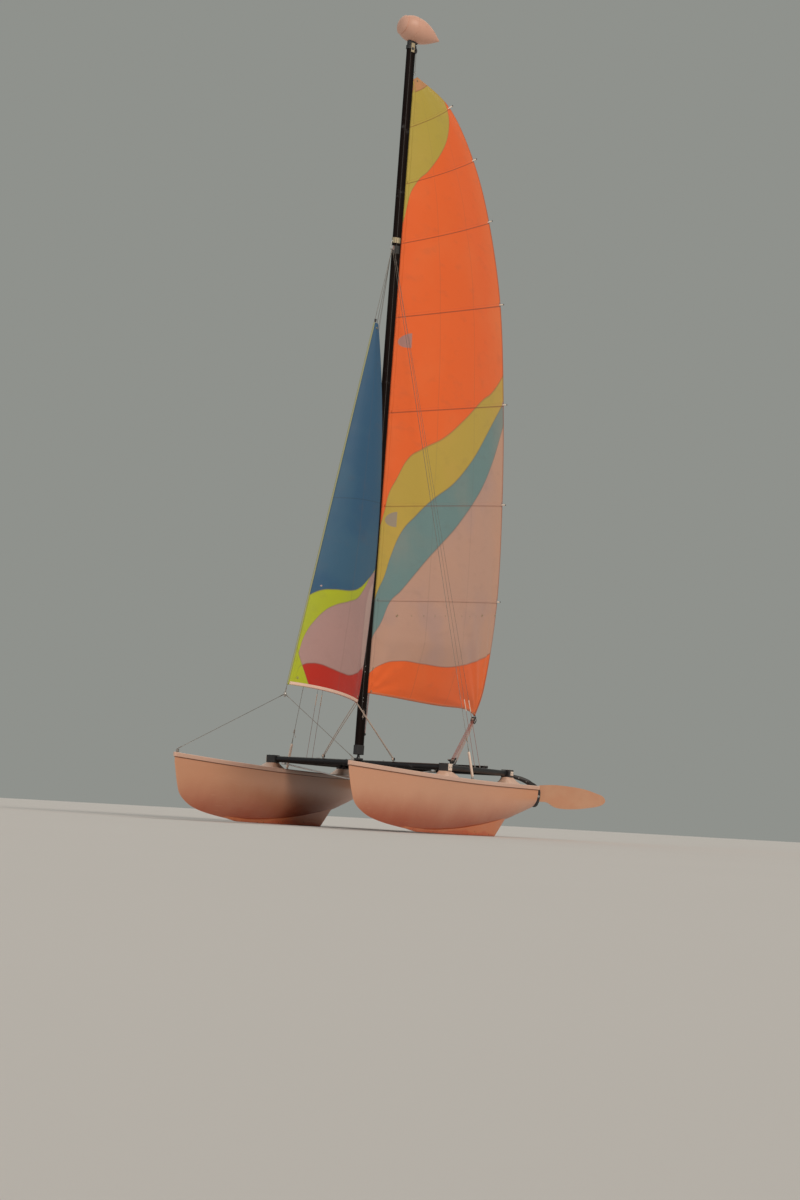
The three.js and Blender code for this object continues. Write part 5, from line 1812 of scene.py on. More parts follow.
@dataclass
class Mainsail(Assembly):
    """The battened mainsail: cloth, pockets with their caps, tapes, head and corner fittings."""

    BODY = "mainsail"
    rig: Rig
    rows: tuple[tuple[float, float, float, float], ...] = (
        (701, 2609, 7, 7), (1030, 2640, 70, 9), (1740, 2600, 334, 11.5), (2800, 2500, 422, 12.5),
        (3860, 2348, 540, 13), (4950, 2136, 616, 13), (5800, 1780, 685, 13), (6490, 1370, 629, 13),
        (7150, 820, 443, 13), (7701, 150, 56, 13))
    battens: tuple[int, ...] = (2, 3, 4, 5, 6, 7, 8)
    luff_aft: float = 57.05
    camber: float = 0.085
    cap_proud: float = 124.0
    scallop: float = 7.0
    crease: float = 15.0
    tack_crease: float = 9.0

    @property
    def last(self) -> int:
        """The number of the top row."""
        return len(self.rows) - 1

    def surface(self, level: Any, share: Any, creased: bool = True) -> Points:
        """Points of the sail.

        Args:
            level: Row numbers.
            share: Shares of the chord, which broadcast with the levels.
            creased: Whether the cloth's folds are added.

        Returns:
            Boat points.
        """
        level, s = np.broadcast_arrays(np.asarray(level, float), np.asarray(share, float))
        up, chord, rise, degrees = np.moveaxis(eased(self.rows, level), -1, 0)
        turn, above = np.radians(degrees), up - self.rows[0][0]
        belly = hollow(s) * self.camber * chord * np.clip(0.5 + above / 1200, 0, 1)
        if creased:
            belly = belly + self._folds(level, s, chord, above)
        luff = self.rig.from_luff(self.luff_aft, up, self.rig.mast_turn)
        leech = self.rig.from_luff(chord, up + rise, turn)
        side = self.rig.from_luff(0, 0, turn, belly) - self.rig.from_luff(0, 0, turn, 0)
        spots = luff * (1 - s[..., None]) + leech * s[..., None] + side
        spots[..., 2] += 890 * s**6 * (1 - s) * np.maximum(1 - above / 330, 0) ** 2
        return spots

    def _folds(self, level: Points, share: Points, chord: Points, above: Points) -> Points:
        """How far the cloth stands off its smooth shape, to port.

        Args:
            level: Row numbers.
            share: Shares of the chord.
            chord: The rows' chords.
            above: Heights over the foot.

        Returns:
            Millimetres.
        """
        inside = np.sin(math.pi * share) ** 0.5
        between_battens = np.abs(np.sin(math.pi * level)) * np.clip(level - 0.6, 0, 1) * self.scallop * inside
        clew = fanned((1 - share) * chord, above, (17, 0.7, 9), 1100, 160) * self.crease
        tack = fanned(share * chord, above, (13, 0, 0), 500, 120) * self.tack_crease
        ripple = np.sin(level * 17 + share * 26) * np.exp(-share / 0.07) * 3
        soft = np.sin(share * 11 + level * 1.9) * np.sin(share * 5 - level * 0.8) * 5 * inside
        edge = np.clip(np.minimum(share, 1 - share) / 0.02, 0, 1) * np.clip(above / 90, 0, 1) * np.clip(
            (self.last - level) / 0.15, 0, 1)
        return (between_battens + clew + tack + ripple + soft) * edge

    def facing(self, level: Any, share: Any) -> Points:
        """The sail's direction to port at each place.

        Args:
            level: Row numbers.
            share: Shares of the chord.

        Returns:
            Unit vectors.
        """
        level, share = np.asarray(level, float), np.asarray(share, float)
        along = self.surface(level, np.minimum(share + 0.01, 1)) - self.surface(level, np.maximum(share - 0.01, 0))
        rise = (self.surface(np.minimum(level + 0.05, self.last), share)
                - self.surface(np.maximum(level - 0.05, 0), share))
        normal = np.cross(rise, along)
        return normal / np.linalg.norm(normal, axis=-1, keepdims=True)

    def _sewn(self, name: str, level: Points, share: Points, proud: float = 0.0) -> Piece:
        """The cloth between these rows and shares, or a layer of it on both faces that stands this proud."""
        return thick(cloth(name, self.surface(level, share), share, level / self.last), 3 + 2 * proud)

    def _tapes(self) -> list[Piece]:
        """The leech, luff and foot tapes.

        Returns:
            The pieces.
        """
        full, cross = np.linspace(0.02, 8.97, 130)[:, None], np.linspace(0, 1, 4)
        chord = eased(self.rows, full)[..., 1]
        made = [self.put(self._sewn(f"mainsail_{edge}_tape", full, share, proud), MAIN_CLOTH)
                for edge, share, proud in (("leech", 1 - cross * 36 / chord, 1.0),
                                           ("luff", 0.002 + cross * 46 / chord, 1.2))]
        along = np.linspace(0.004, 0.996, 90)[:, None]
        foot = self.surface(0.001 + cross * 0.13, along)
        made.append(self.put(thick(cloth("mainsail_foot_tape", foot, cross, along * 2.6), 5), FOOT_TAPE))
        return made

    def _pockets(self) -> list[Piece]:
        """The batten pockets and the caps that stand proud of the leech.

        Returns:
            The pieces.
        """
        made, stems, tips = [], [], []
        for number in self.battens:
            pace = (eased(self.rows, number + 0.05)[0] - eased(self.rows, number - 0.05)[0]) * 10
            level = number + np.linspace(-1, 1, 5) * 14 / pace
            pocket = self._sewn(f"mainsail_batten_{number}", level, np.linspace(0.012, 0.995, 60)[:, None], 2.0)
            made.append(self.put(pocket, MAIN_CLOTH))
            inner, edge = self.surface(float(number), np.array([0.97, 1.0]), False)
            away = unit(edge - inner)
            stems.append(np.array([edge + away * d for d in (-60, -10, 40, 98)]))
            tips.append(np.array([edge + away * d for d in (94, 100, 116, self.cap_proud)]))
        return made + [self.line("mainsail_batten_stems", stems, (5, 8, 8, 6), WHITE, 12),
                       self.line("mainsail_batten_caps", tips, (7.2, 9, 8.4, 4), BLACK, 12)]

    def _corners(self) -> list[Piece]:
        """The headboard, its patch, and the rings pressed through the corners and the reef points.

        Returns:
            The pieces.
        """
        rise = np.linspace(8.62, 9.0, 12)[:, None]
        cross = np.linspace(0, 1, 12)[None, :]
        patch = thick(cloth("mainsail_head_patch", self.surface(rise, cross), cross, (rise - 8.6) * 0.6), 6)
        made = [self.put(patch, HEAD_PATCH)]
        low, high = self.surface(np.array([[8.80], [9.0]]), np.array([[0.02, 0.35, 0.7, 0.98]]), False)
        board, normal = np.concatenate([low, high[::-1]]), self.facing(8.85, 0.5)
        plate = solid("mainsail_headboard", [board + normal * off for off in (-4.5, 4.5)], 40)
        made.append(self.put(broken(plate, 2), HEAD_PATCH))
        level = np.array([0.1, 0.14, 1.80, 1.84, 1.85, 0.9, 8.88])
        share = np.array([0.975, 0.02, 0.117, 0.812, 0.983, 0.02, 0.4])
        eyes = np.linspace(0.2, 0.74, 8)
        for name, level, share, proud, size in (("rings", level, share, 4.0, (11, 3.2)), (
                "reef_eyes", 1.80 + (eyes - 0.117) * 0.05, eyes, 1.8, (6, 2.0))):
            both = pressed(self.surface(level, share), self.facing(level, share), proud)
            made.append(self.fix(f"mainsail_{name}", Fixing.EYELET, both, size, EYELET))
        return made

    def build(self) -> None:
        """Makes the mainsail's pieces."""
        sail = self._sewn("mainsail_cloth", np.linspace(0, self.last, 199)[:, None], np.linspace(0, 1, 91))
        self.put(sail, MAIN_CLOTH, ("mainsail",))
        trim = self._tapes() + self._pockets() + self._corners()


@dataclass
class Jib(Assembly):
    """The jib: cloth, luff sleeve on the stay, tapes, rings, and its sheets to the crossbar."""

    BODY = "jib"
    rig: Rig
    tack_along: float = 110.0
    head_along: float = 4560.0
    sleeve: float = 9.0
    clew: Triple = (476.0, 144.0, 1358.0)
    pull: Triple = (394.0, 374.0, 3650.0)
    camber: float = 0.1
    crease: float = 7.0
    block_y: float = 420.0

    @property
    def stay(self) -> tuple[Points, Points]:
        """The tack's and the head's places on the forestay.

        Returns:
            The two points.
        """
        low = np.array(self.rig.bridle_apex)
        run = unit(self.rig.apex - low)
        return low + run * self.tack_along, low + run * self.head_along

    def surface(self, up: Any, share: Any, creased: bool = True) -> Points:
        """Points of the jib.

        Args:
            up: Shares of the luff.
            share: Shares of the chord, which broadcast with those of the luff.
            creased: Whether the cloth's folds are added.

        Returns:
            Boat points.
        """
        u, s = (a[..., None] for a in np.broadcast_arrays(np.asarray(up, float), np.asarray(share, float)))
        tack, head = self.stay
        top = head + (-70, 16, 0)
        leech = (1 - u) ** 2 * np.array(self.clew) + 2 * u * (1 - u) * np.array(self.pull) + u**2 * top
        axis = tack + (head - tack) * u
        chord = leech - axis
        size = np.linalg.norm(chord, axis=-1, keepdims=True)
        out = np.cross(chord, unit(head - tack))
        out /= np.linalg.norm(out, axis=-1, keepdims=True)
        belly = hollow(s) * self.camber * size
        if creased:
            belly = belly + self._folds(u, s, size)
        return (axis + chord / size * self.sleeve * 0.8) * (1 - s) + leech * s + out * belly

    def _folds(self, up: Points, share: Points, size: Points) -> Points:
        """How far the cloth stands off its smooth shape.

        Args:
            up: Shares of the luff.
            share: Shares of the chord.
            size: The chords.

        Returns:
            Millimetres.
        """
        clew = fanned((1 - share) * size, up * (self.head_along - self.tack_along), (15, 1, 7), 700, 120)
        fold = 18 * np.exp(-((share - 0.86 + up * 0.25) / 0.05) ** 2) * np.exp(-((up - 0.14) / 0.11) ** 2)
        hanks = np.sin(up * 60 + share * 9) * np.exp(-share / 0.06) * 2.5
        soft = np.sin(share * 8 + up * 11) * 3 * np.sin(math.pi * share)
        edge = np.clip(np.minimum(share, 1 - share) / 0.03, 0, 1) * np.clip(up / 0.02, 0, 1) * np.clip(
            (1 - up) / 0.02, 0, 1)
        return (clew * self.crease + fold + hanks + soft) * edge

    def build(self) -> None:
        """Makes the jib's pieces."""
        ups, shares = np.linspace(0, 1, 141)[:, None], np.linspace(0, 1, 49)
        sail = thick(cloth("jib_cloth", self.surface(ups, shares), shares, ups), 2.6)
        self.put(sail, JIB_CLOTH, ("jib",))
        tack, head = self.stay
        girth = np.full(60, self.sleeve)
        girth[[0, -1]] = self.sleeve * 0.8
        trim = [self.line("jib_luff_sleeve", [between(tack, head, 60)], girth, JIB_SLEEVE, 16)]
        cross, full = np.linspace(0, 1, 4), np.linspace(0.01, 0.985, 90)[:, None]
        leech = cloth("jib_leech_tape", self.surface(full, 1 - cross * 0.024), 1 - cross * 0.024, full)
        trim.append(self.put(thick(leech, 5), JIB_CLOTH))
        along = np.linspace(0.01, 0.99, 50)[:, None]
        foot = cloth("jib_foot_tape", self.surface(0.0005 + cross * 0.008, along), cross, along * 1.6)
        trim.append(self.put(thick(foot, 5), JIB_TAPE))
        trim.append(self._rings())
        self._sheets()

    def _rings(self) -> Piece:
        """The rings pressed through the clew, the tack and the head.

        Returns:
            The piece.
        """
        up, share = np.array([0.014, 0.02, 0.985]), np.array([0.955, 0.06, 0.45])
        spots = self.surface(up, share)
        normals = np.cross(self.surface(up + 0.01, share) - spots, self.surface(up, share + 0.01) - spots)
        return self.fix("jib_rings", Fixing.EYELET, pressed(spots, normals, 3.4), (10, 3.0), EYELET)

    def _sheets(self) -> None:
        """The two sheets from the clew down to the blocks on the front crossbar, and the head's block."""
        clew = np.array(self.clew) + (22, -6, 8)
        for side in Side:
            foot = np.array([52.0, side.value * self.block_y, 786.0])
            share = np.linspace(0, 1, 24)[:, None]
            falls = [foot + (0, lay, 0) + (clew + (0, lay * 0.4, -lay) - foot) * share
                     + np.array([0, side.value * 22.0, -26.0]) * np.sin(math.pi * share) for lay in (-7, 7)]
            self.span(f"{side.word}_jib_sheet", falls, 4.0, WHITE_ROPE, "jib")
            middle, name = foot - (0, 0, 2), f"{side.word}_jib_block"
            sheave = [middle + (0, d, 0) for d in (-9, -3, 3, 9)]
            self.line(f"{name}_sheave", [sheave], (17, 12, 12, 17), WHITE, 20, "root")
            cheeks = [[middle + (0, s * d, 0) for d in (10, 13)] for s in (1, -1)]
            self.line(f"{name}_cheeks", cheeks, (19, 17), BLACK, 20, "root")
            stem = [(50, foot[1], z) for z in (757, 762, 770)]
            self.line(f"{name}_stem", [stem], (15, 9, 7), STEEL, 14, "root")
        head = self.stay[1]
        self.line("jib_head_block", [[head + (-14, 4, 10), head + (-20, 5, 42)]], (11, 13), BLACK, 14)


# Tackle and rigging


@dataclass
class Tackle(Assembly):
    """The mainsheet's traveller, its two blocks and the falls between them."""

    sail: Mainsail
    bar_x: float = -1860.0
    car_y: float = 350.0
    lean: float = math.radians(-48)
    foot: Triple = (-1860.0, 350.0, 805.2)
    radius: float = 34.0
    high: float = 96.0

    @property
    def up(self) -> Points:
        """The tackle's direction, from its lower block to its upper."""
        return np.array([math.sin(self.lean), 0, math.cos(self.lean)])

    @property
    def ahead(self) -> Points:
        """Across the tackle, forward."""
        return np.array([math.cos(self.lean), 0, -math.sin(self.lean)])

    def _clew(self) -> tuple[Points, Points]:
        """The sail's clew and the direction from it into the sail.

        Returns:
            A point and a unit vector.
        """
        clew = self.sail.surface(0.0, 1.0, False)
        footward, leechward = (unit(self.sail.surface(a, b, False) - clew) for a, b in ((0.0, 0.9), (1 / 3, 1.0)))
        return clew, unit(footward + leechward)

    def build(self) -> None:
        """Makes the tackle's pieces."""
        clew, inward = self._clew()
        upper = clew - inward * 26 + self.up * (6 - self.high)
        lower = np.array(self.foot)
        self._block("mainsheet_lower", lower, "root")
        self._block("mainsheet_upper", upper, "mainsail")
        self._shackle(clew, inward)
        ends = [foot + self.up * self.high / 2 for foot in (lower, upper)]
        share = np.linspace(0, 1, 14)[:, None]
        falls: list[list[Points]] = [[], []]
        for number, (y, v) in enumerate((y, v) for y in (-14, 0, 14) for v in (-21, 21)):
            falls[number % 2].append(ends[0] + (ends[1] - ends[0]) * share + (0, y, 0)
                                     + self.ahead * v * (1.8 - 1.1 * share))
        self.span("mainsheet_falls", falls[0], 3.8, SHEET_ROPE, "mainsail")
        self.span("mainsheet_inner_falls", falls[1], 3.8, RED_ROPE, "mainsail")
        self._traveller()

    def _block(self, name: str, foot: Points, body: str) -> None:
        """A triple block: cheeks and separators, grooved sheaves, pin and strap.

        Args:
            name: The start of its pieces' names.
            foot: Its lowest point.
            body: The CAD body that it rides on.
        """
        turn = np.linspace(0, math.pi, 14)
        rim = [(self.radius * math.cos(a + math.pi), self.radius * (1 + math.sin(a + math.pi))) for a in turn]
        rim += [(self.radius * math.cos(a), self.high - self.radius * (1 - math.sin(a))) for a in turn]
        points, faces = [], []
        for low, high, size in ((17.4, 22, 1.0), (-22, -17.4, 1.0), (5.9, 8.1, 0.93), (-8.1, -5.9, 0.93)):
            plate = np.array([[foot + self.ahead * f * size + self.up * ((a - self.high / 2) * size + self.high / 2)
                               + (0, y, 0) for f, a in rim] for y in (low, high)])
            spots, sides = skin(plate)
            faces += [[corner + sum(map(len, points)) for corner in side] for side in sides]
            points.append(spots)
        cheeks = broken(smooth(bare(f"{name}_block_cheeks", np.concatenate(points), faces), 30), 1.6)
        self.put(cheeks, BLACK, (f"{name}_block",), body)
        middle = foot + self.up * self.high / 2
        wheels = [[middle + (0, y + d, 0) for d in (-5.4, -4.2, -1.4, 1.4, 4.2, 5.4)] for y in (-12.8, 0, 12.8)]
        self.line(f"{name}_block_sheaves", wheels, (27, 28, 22.5, 22.5, 28, 27), WHITE, 32, body)
        pin = [middle + (0, y, 0) for y in (-25, -23.4, -21, 21, 23.4, 25)]
        self.line(f"{name}_block_pin", [pin], (6, 8, 8, 8, 8, 6), STEEL, 18, body)
        straps = [[middle + self.up * d + (0, s * 23.2, 0) for d in (-44, -30, 0, 30, 44)] for s in (1, -1)]
        self.line(f"{name}_block_straps", straps, (2.6, 4.4, 5.2, 4.4, 2.6), STEEL, 10, body)

    def _shackle(self, clew: Points, inward: Points) -> None:
        """The bow shackle that clasps the clew, with its pin.

        Args:
            clew: The sail's corner.
            inward: The direction into the sail.
        """
        across = np.cross(inward, unit(self.sail.surface(0.0, 0.9, False) - clew))
        across /= np.linalg.norm(across)
        turn = np.linspace(0, math.pi, 16)
        bow = [clew + inward * 16 + across * 9,
               *(clew - inward * (8 + 20 * math.sin(a)) + across * 9 * math.cos(a) for a in turn),
               clew + inward * 16 - across * 9]
        self.line("clew_shackle", [bow], 4.0, STEEL, 12, "mainsail")
        pin = [clew + inward * 14 + across * d for d in (-17, -15, -12, 12, 15, 17)]
        self.line("clew_shackle_pin", [pin], (5, 7, 4, 4, 7, 5), STEEL, 14, "mainsail")

    def _traveller(self) -> None:
        """The track with its screws and stops, and the car with its wheels, post and cleat."""
        (x, y), above = (self.bar_x, self.car_y), (0, 0, 1)
        self.dress("traveller_track", "traveller_track_bar", 2, RAIL)
        screws = [((x, at, 767.3), above) for at in np.linspace(-710, 710, 16) if abs(at - y) > 60]
        self.fix("traveller_screws", Fixing.SCREW, screws, (4.2, 1.8), STEEL)
        stops = [((x - 17, s * 738 - 11, 759), (x + 17, s * 738 + 11, 781)) for s in (1, -1)]
        self.put(boxes("traveller_stops", stops, 4), BLACK)
        self.dress("traveller_car", "traveller_car_body", 6, CAST)
        wheels = [[(x + dx, y + dy + d, 772) for d in (-6, -4, 4, 6)] for dx in (-24, 24) for dy in (-38, 38)]
        self.line("traveller_wheels", wheels, (7, 9, 9, 7), WHITE, 16)
        post = [(x, y, z) for z in (790, 795, 796, 800, 801, 807)]
        self.line("traveller_post", [post], (24, 24, 15, 12, 16, 14), STEEL, 20)
        screws = [((x + dx, y + dy, 793.6), above) for dx in (-24, 24) for dy in (-32, 32)]
        self.fix("traveller_car_screws", Fixing.SCREW, screws, (4.6, 2.2), STEEL)
        arm = [(x + 12, y, 800), (x + 44, y, 808), (x + 76, y, 828), (x + 92, y, 842)]
        self.line("mainsheet_cleat_arm", [arm], (7, 6.5, 6, 6), CAST, 14)
        jaws = [[(x + 96 + d, y + s * 11, 846 + d * 0.6) for d in (-14, -6, 4, 12)] for s in (1, -1)]
        self.line("mainsheet_cleat_jaws", jaws, (4, 8.5, 9.5, 5), BLACK, 14)
        low = np.array(self.foot) + self.up * self.high / 2 + self.ahead * 24
        lead = np.array([low, (x + 60, y, 846), (x + 96, y, 846), (x + 118, y, 850)])
        self.line("mainsheet_lead", [eased(lead, np.linspace(0, 3, 24))], 4.6, SHEET_ROPE, 8)


@dataclass
class StandingRigging(Assembly):
    """Forestay, bridle and shrouds with their end fittings, and the pairs of trapeze wires."""

    rig: Rig
    stay_radius: float = 2.5
    rail: Pair = (1035.0, 757.0)
    trapeze_x: Pair = (-828.0, -982.0)
    handle_up: float = 700.0

    def wire(self, name: str, low: Points, high: Points, node: str, swage: float = 60.0) -> None:
        """A wire with pressed ends, which stands for a CAD node.

        Args:
            name: The piece's name.
            low: Its lower end.
            high: Its upper end.
            node: The CAD node.
            swage: How long its pressed ends are.
        """
        run, reach = unit(high - low), float(np.linalg.norm(high - low))
        at = np.array([0, swage, swage + 3, reach / 2, reach - swage - 3, reach - swage, reach])
        pressed_end, thin = [4.6] * 2, [self.stay_radius] * 3
        self.line(name, [low + run * at[:, None]], (*pressed_end, *thin, *pressed_end), WIRE, replaces=(node,))

    def build(self) -> None:
        """Dresses the wires where they are and adds their fittings."""
        for node in ("bridle_plate", "stays_shackle"):
            self.dress(node, f"{node}_forging", 1.5, STEEL)
        low, high = np.array(self.rig.bridle_apex), self.rig.apex
        run = unit(high - low)
        self.wire("forestay_wire", low + run * 14, high - run * 20, "forestay")
        for side in Side:
            self._bow(side)
            self._shroud(side)
            self._trapeze(side)

    def _foot(self, node: str, above: float) -> Points:
        """The middle of a CAD node's top, and a little above it."""
        low, high = (np.array(corner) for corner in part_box(node))
        return (np.array([(low[0] + high[0]) / 2, (low[1] + high[1]) / 2, high[2]]) - ORIGIN) / MM + (0, 0, above)

    def _bow(self, side: Side) -> None:
        """One side's bow tang with its bolts, and its leg of the bridle.

        Args:
            side: The side of the boat.
        """
        word, foot = side.word, self._foot(f"{side.word}_bow_plate", 0)
        tang = boxes(f"{word}_bow_tang", [((foot[0] - 34, foot[1] - 3, foot[2] - 33.5),
                                           (foot[0] + 34, foot[1] + 3, foot[2]))], 1.2)
        self.put(tang, STEEL, replaces=(f"{word}_bow_plate",))
        bolts = [(foot + (dx, s * 3, -14), (0, s, 0)) for dx in (-22, 0, 22) for s in (1, -1)]
        self.fix(f"{word}_bow_bolts", Fixing.SCREW, bolts, (5, 3), STEEL)
        apex = np.array(self.rig.bridle_apex)
        base = foot + (0, 0, self.stay_radius)
        self.wire(f"{word}_bridle_wire", base, apex - unit(apex - base) * 14, f"{word}_bridle", 45)

    def _shroud(self, side: Side) -> None:
        """One side's chainplate, sleeve, lashing and shroud.

        Args:
            side: The side of the boat.
        """
        word, base = side.word, self._foot(f"{side.word}_chainplate", 2.3)
        self.dress(f"{word}_chainplate", f"{word}_chain_plate", 2, STEEL)
        bolts = [(base + (dx, s * 7, -16), (0, s, 0)) for dx in (-11, 11) for s in (1, -1)]
        self.fix(f"{word}_chain_bolts", Fixing.BOLT, bolts, (5, 3.5), STEEL)
        top = self.rig.apex
        run = unit(top - base)
        tube = [base + run * d for d in (0, 3, 6, 40, 240, 272, 277, 280)]
        self.line(f"{word}_shroud_tube", [tube], (9, 13.5, 14.5, 14.5, 14.5, 14.5, 11, 4), WHITE, 16,
                  replaces=(f"{word}_shroud_sleeve",))
        self.wire(f"{word}_shroud_wire", base + run * 280.3, top - run * 20, f"{word}_shroud")
        turn = np.linspace(0, 10 * math.pi, 90)
        aside, away = unit(np.cross(run, (1, 0, 0))), unit(np.cross(run, np.cross(run, (1, 0, 0))))
        wrap = base + run * (400 + turn[:, None] * 1.4) + (aside * np.sin(turn)[:, None]
                                                           + away * np.cos(turn)[:, None]) * 7
        tails = [between(wrap[i], wrap[i] + aside * s * 26 - run * 44, 6) for i, s in ((0, 1), (-1, -0.6))]
        self.line(f"{word}_shroud_lashing", [wrap, *tails], 2.6, WHITE_ROPE, 6)

    def _trapeze(self, side: Side) -> None:
        """One side's two trapeze wires, with their handles and the red cords down to the rail.

        Args:
            side: The side of the boat.
        """
        top = self.rig.apex + (-18, side.value * 16, -14)
        wires, grips, cords, rings = [], [], [], []
        for x in self.trapeze_x:
            base = np.array([x, side.value * self.rail[0], self.rail[1]])
            run = unit(top - base)
            wires.append(between(base + run * (self.handle_up + 60), top, 4))
            grips.append([base + run * (self.handle_up + d) for d in (-70, -64, -20, 30, 58, 64)])
            cords.append(between(base + run * 14, base + run * (self.handle_up - 60), 8))
            rings.append(hoop(base + (0, 0, 8), (12, 0, 0), (0, 0, 12), 20))
        self.line(f"{side.word}_trapeze_wires", wires, 1.7, WIRE, 6)
        self.line(f"{side.word}_trapeze_handles", grips, (3, 6, 5, 5, 6, 3), WHITE, 12)
        self.line(f"{side.word}_trapeze_cords", cords, 2.2, RED_ROPE, 6)
        self.line(f"{side.word}_trapeze_rings", rings, 2.4, STEEL, 8)


# Rudders


@dataclass
class Rudder(Assembly):
    """One rudder, kicked up and hard over: gudgeons, head with its tiller arm, and blade."""

    side: Side
    pintle: Pair = (-2570.0, 1070.0)
    turn: float = math.radians(-60)
    kick: Pair = (-95.0, 490.0)

    def at(self, x: Any, y: Any, z: Any) -> Points:
        """A boat point for a place in the turned rudder's frame.

        Args:
            x: Ahead of the pintle.
            y: To port of it.
            z: Above the floor.

        Returns:
            Boat points.
        """
        x, y, z = np.broadcast_arrays(*(np.asarray(a, float) for a in (x, y, z)))
        c, s = math.cos(self.turn), math.sin(self.turn)
        return np.stack([self.pintle[0] + x * c - y * s, self.side.value * self.pintle[1] + x * s + y * c, z], -1)

    def spots(self, places: Sequence[Pair], face: float) -> Spots:
        """Places on both flanks of the rudder, each with its facing."""
        return [(self.at(x, s * face, z), self.at(x, s, z) - self.at(x, 0, z)) for x, z in places for s in (1, -1)]

    def build(self) -> None:
        """Makes the rudder's pieces."""
        word = self.side.word
        head, blade = f"{word}_rudder_head", f"{word}_rudder_blade"
        self.dress(f"{word}_gudgeons", f"{word}_gudgeon_castings", 2.5, CAST)
        self.dress(head, f"{word}_rudder_casting", 3, CAST, head)
        self.dress(blade, f"{word}_rudder_foil", 6, BLADE, blade, 40)
        rod = self.at(0, 0, (374, 377, 379, 597, 599, 602))
        self.line(f"{word}_pintle_rod", [rod], (7, 8, 4.6, 4.6, 8, 7), STEEL, 14)
        bolts = [((self.pintle[0] + 17, self.side.value * self.pintle[1] + dy, z), (-1, 0, 0))
                 for dy in (-21, 21) for z in (384, 428, 492, 536)]
        self.fix(f"{word}_gudgeon_bolts", Fixing.BOLT, bolts, (5, 3.5), STEEL)
        self.fix(f"{word}_head_bolts", Fixing.BOLT, self.spots(((-24, 424), (-24, 520), (-24, 606)), 22), (5, 3.5),
                 STEEL, head)
        self.fix(f"{word}_kick_pin", Fixing.BOLT, self.spots((self.kick,), 22), (9, 5), STEEL, head)
        arm = self.spots(((60, 655), (150, 690)), 18)
        self.fix(f"{word}_tiller_rivets", Fixing.SCREW, arm, (4, 2), STEEL, head)


@dataclass
class Steering(Assembly):
    """The bar that ties the two tillers, its end caps, and the stick stowed along it."""

    BODY = "tiller_tie_bar"
    bar_x: float = -2294.0
    bar_z: float = 796.3
    ends: Pair = (-1578.0, 622.0)
    pins: Pair = (-1548.05, 591.95)
    stick_x: float = -2267.7
    stick_ends: Pair = (-1500.0, -480.0)

    def _along(self, x: float, places: Sequence[float], z: float) -> Points:
        """Points across the boat at the given distances from its middle."""
        return np.array([(x, y, z) for y in places])

    def build(self) -> None:
        """Makes the steering's pieces."""
        (low, high), (near, far) = self.ends, self.stick_ends
        bar = self._along(self.bar_x, (low, low + 2, high - 2, high), self.bar_z)
        self.line("tie_bar_tube", [bar], (12.5, 14, 14, 12.5), SPAR, 20, replaces=("tiller_tie_bar",))
        caps = [self._along(self.bar_x, row, self.bar_z) for row in (
            (low - 3, low, low + 44, low + 48), (high + 3, high, high - 44, high - 48))]
        self.line("tie_bar_caps", caps, (10, 15.5, 15.5, 13.5), BLACK, 20)
        self.fix("tie_bar_bolts", Fixing.BOLT, [((self.bar_x, y, self.bar_z + 15), (0, 0, 1)) for y in self.pins],
                 (7, 5), STEEL)
        stick = self._along(self.stick_x, (near, near + 2, far - 2, far), self.bar_z)
        self.line("stick_tube", [stick], (11, 12, 12, 11), SPAR, 18, replaces=("tiller_extension",))
        ridges = np.linspace(near - 2, near + 190, 49)
        girth = 13.2 + 0.7 * np.sin(np.arange(49) * math.pi / 2)
        girth[[0, -1]] = 11.0
        self.line("stick_grip", [self._along(self.stick_x, ridges, self.bar_z)], girth, BLACK, 18)
        joint = self._along(self.stick_x, (far - 40, far - 36, far, far + 26, far + 40), self.bar_z)
        self.line("stick_joint", [joint], (12.5, 14, 13, 9, 6), BLACK, 16)
        middle = (self.bar_x + self.stick_x) / 2
        ties = [hoop((middle, y, self.bar_z), (0, 0, 16.5), (29.5, 0, 0), 33) for y in (-700.0, -1180.0)]
        self.line("stick_ties", ties, 2.6, BLACK_ROPE, 8)


# Studio


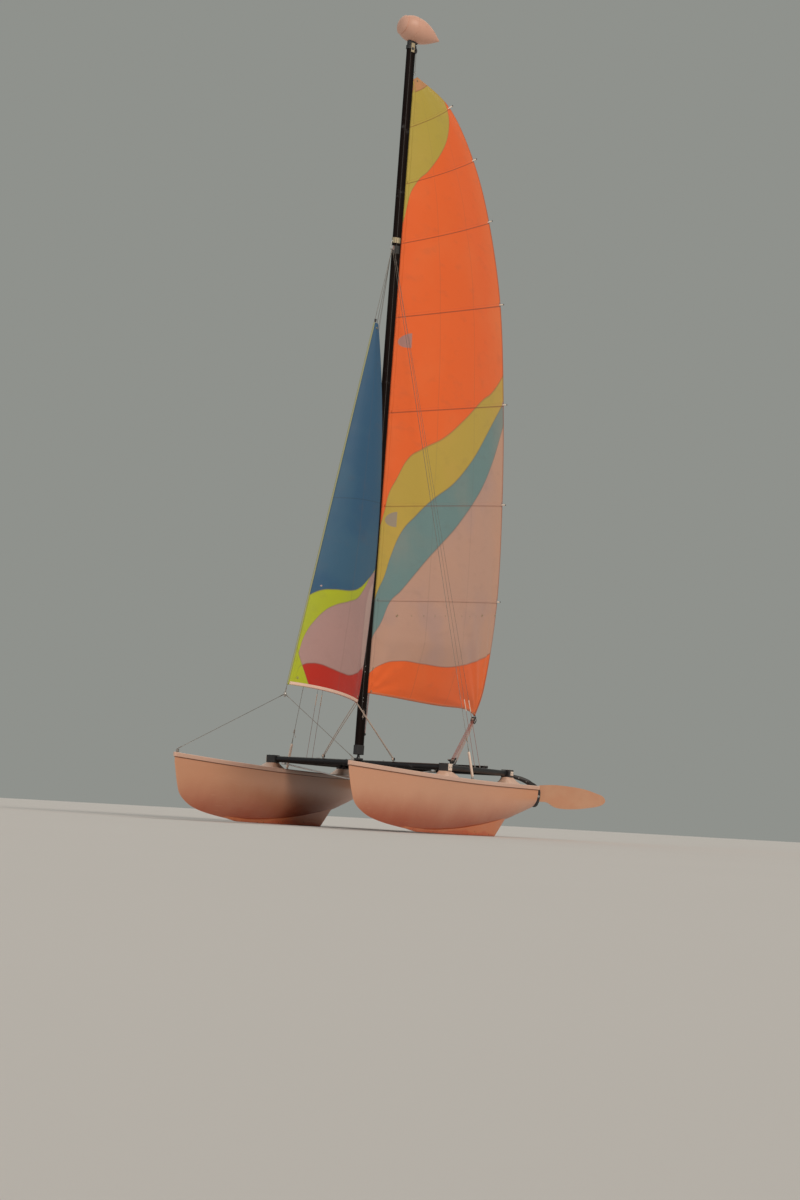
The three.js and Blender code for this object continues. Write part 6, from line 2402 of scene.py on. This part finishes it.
@dataclass
class Studio:
    """Camera, floor and soft lights."""

    azimuth: float = math.radians(23.7483)
    distance: float = 30.0
    eye: float = 0.15
    yaw: float = math.radians(203.0968)
    pitch: float = math.radians(4.5675)
    roll: float = math.radians(3.2067)
    lens: float = 122.503

    def build(self) -> None:
        """Sets the studio up."""
        self._camera()
        self._floor()
        self._lights()

    def _camera(self) -> None:
        """The camera, at the photographed viewing angle."""
        data = bpy.data.cameras.new("camera")
        data.sensor_fit, data.sensor_width, data.lens, data.clip_end = "HORIZONTAL", 36.0, self.lens, 400.0
        camera = linked("camera", data)
        ahead = Vector((math.cos(self.yaw) * math.cos(self.pitch), math.sin(self.yaw) * math.cos(self.pitch),
                        math.sin(self.pitch)))
        right = ahead.cross(Vector((0, 0, 1))).normalized()
        up = right.cross(ahead)
        c, s = math.cos(self.roll), math.sin(self.roll)
        across, above = right * c + up * s, up * c - right * s
        turned = Matrix((across, above, -ahead)).transposed().to_4x4()
        turned.translation = Vector(ORIGIN) + Vector((
            self.distance * math.cos(self.azimuth), self.distance * math.sin(self.azimuth), self.eye))
        camera.matrix_world = turned
        bpy.context.scene.camera = camera

    def _floor(self) -> None:
        """A wide pale floor."""
        work = bmesh.new()
        bmesh.ops.create_circle(work, cap_ends=True, segments=96, radius=150.0)
        mesh = bpy.data.meshes.new("studio_floor")
        work.to_mesh(mesh)
        work.free()
        floor = linked("studio_floor", mesh)
        floor.location.z = -0.0005
        mesh.materials.append(Ground("studio floor").material())

    def _lights(self) -> None:
        """An even sky and three wide soft lamps."""
        world = bpy.data.worlds.new("studio")
        world.use_nodes = True
        back = world.node_tree.nodes["Background"]
        back.inputs["Color"].default_value = (0.80, 0.83, 0.77, 1)
        back.inputs["Strength"].default_value = 0.345
        bpy.context.scene.world = world
        for name, turn, height, spread, power, tint in (
                ("key", 62, 38, 30, 1.45, (1.0, 0.88, 0.78)), ("fill", -25, 30, 70, 0.42, (0.94, 0.96, 1.0)),
                ("back", 205, 48, 60, 0.45, (1.0, 0.92, 0.84))):
            data = bpy.data.lights.new(name, "SUN")
            data.angle, data.energy, data.color = math.radians(spread), power, tint
            lamp = linked(name, data)
            turn, height = math.radians(turn), math.radians(height)
            away = Vector((math.cos(turn) * math.cos(height), math.sin(turn) * math.cos(height), math.sin(height)))
            lamp.rotation_euler = (-away).to_track_quat("-Z", "Y").to_euler()
        bpy.context.scene.view_settings.view_transform = "Standard"


def write_sizes() -> None:
    """Updates the view layer.
    """
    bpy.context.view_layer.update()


def main() -> None:
    """Builds every sub-assembly in order."""
    logging.basicConfig(level=logging.INFO, format="%(name)s %(message)s")
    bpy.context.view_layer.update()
    shop, rig = Workshop(), Rig()
    Studio().build()
    for side in Side:
        Hull(shop, side).build()
        Rudder(shop, side).build()
    mainsail = Mainsail(shop, rig)
    for assembly in (Platform(shop), Trampoline(shop), Spar(shop, rig), mainsail, Jib(shop, rig),
                     Tackle(shop, mainsail), StandingRigging(shop, rig), Steering(shop)):
        assembly.build()
    write_sizes()


if __name__ == "__main__":
    main()
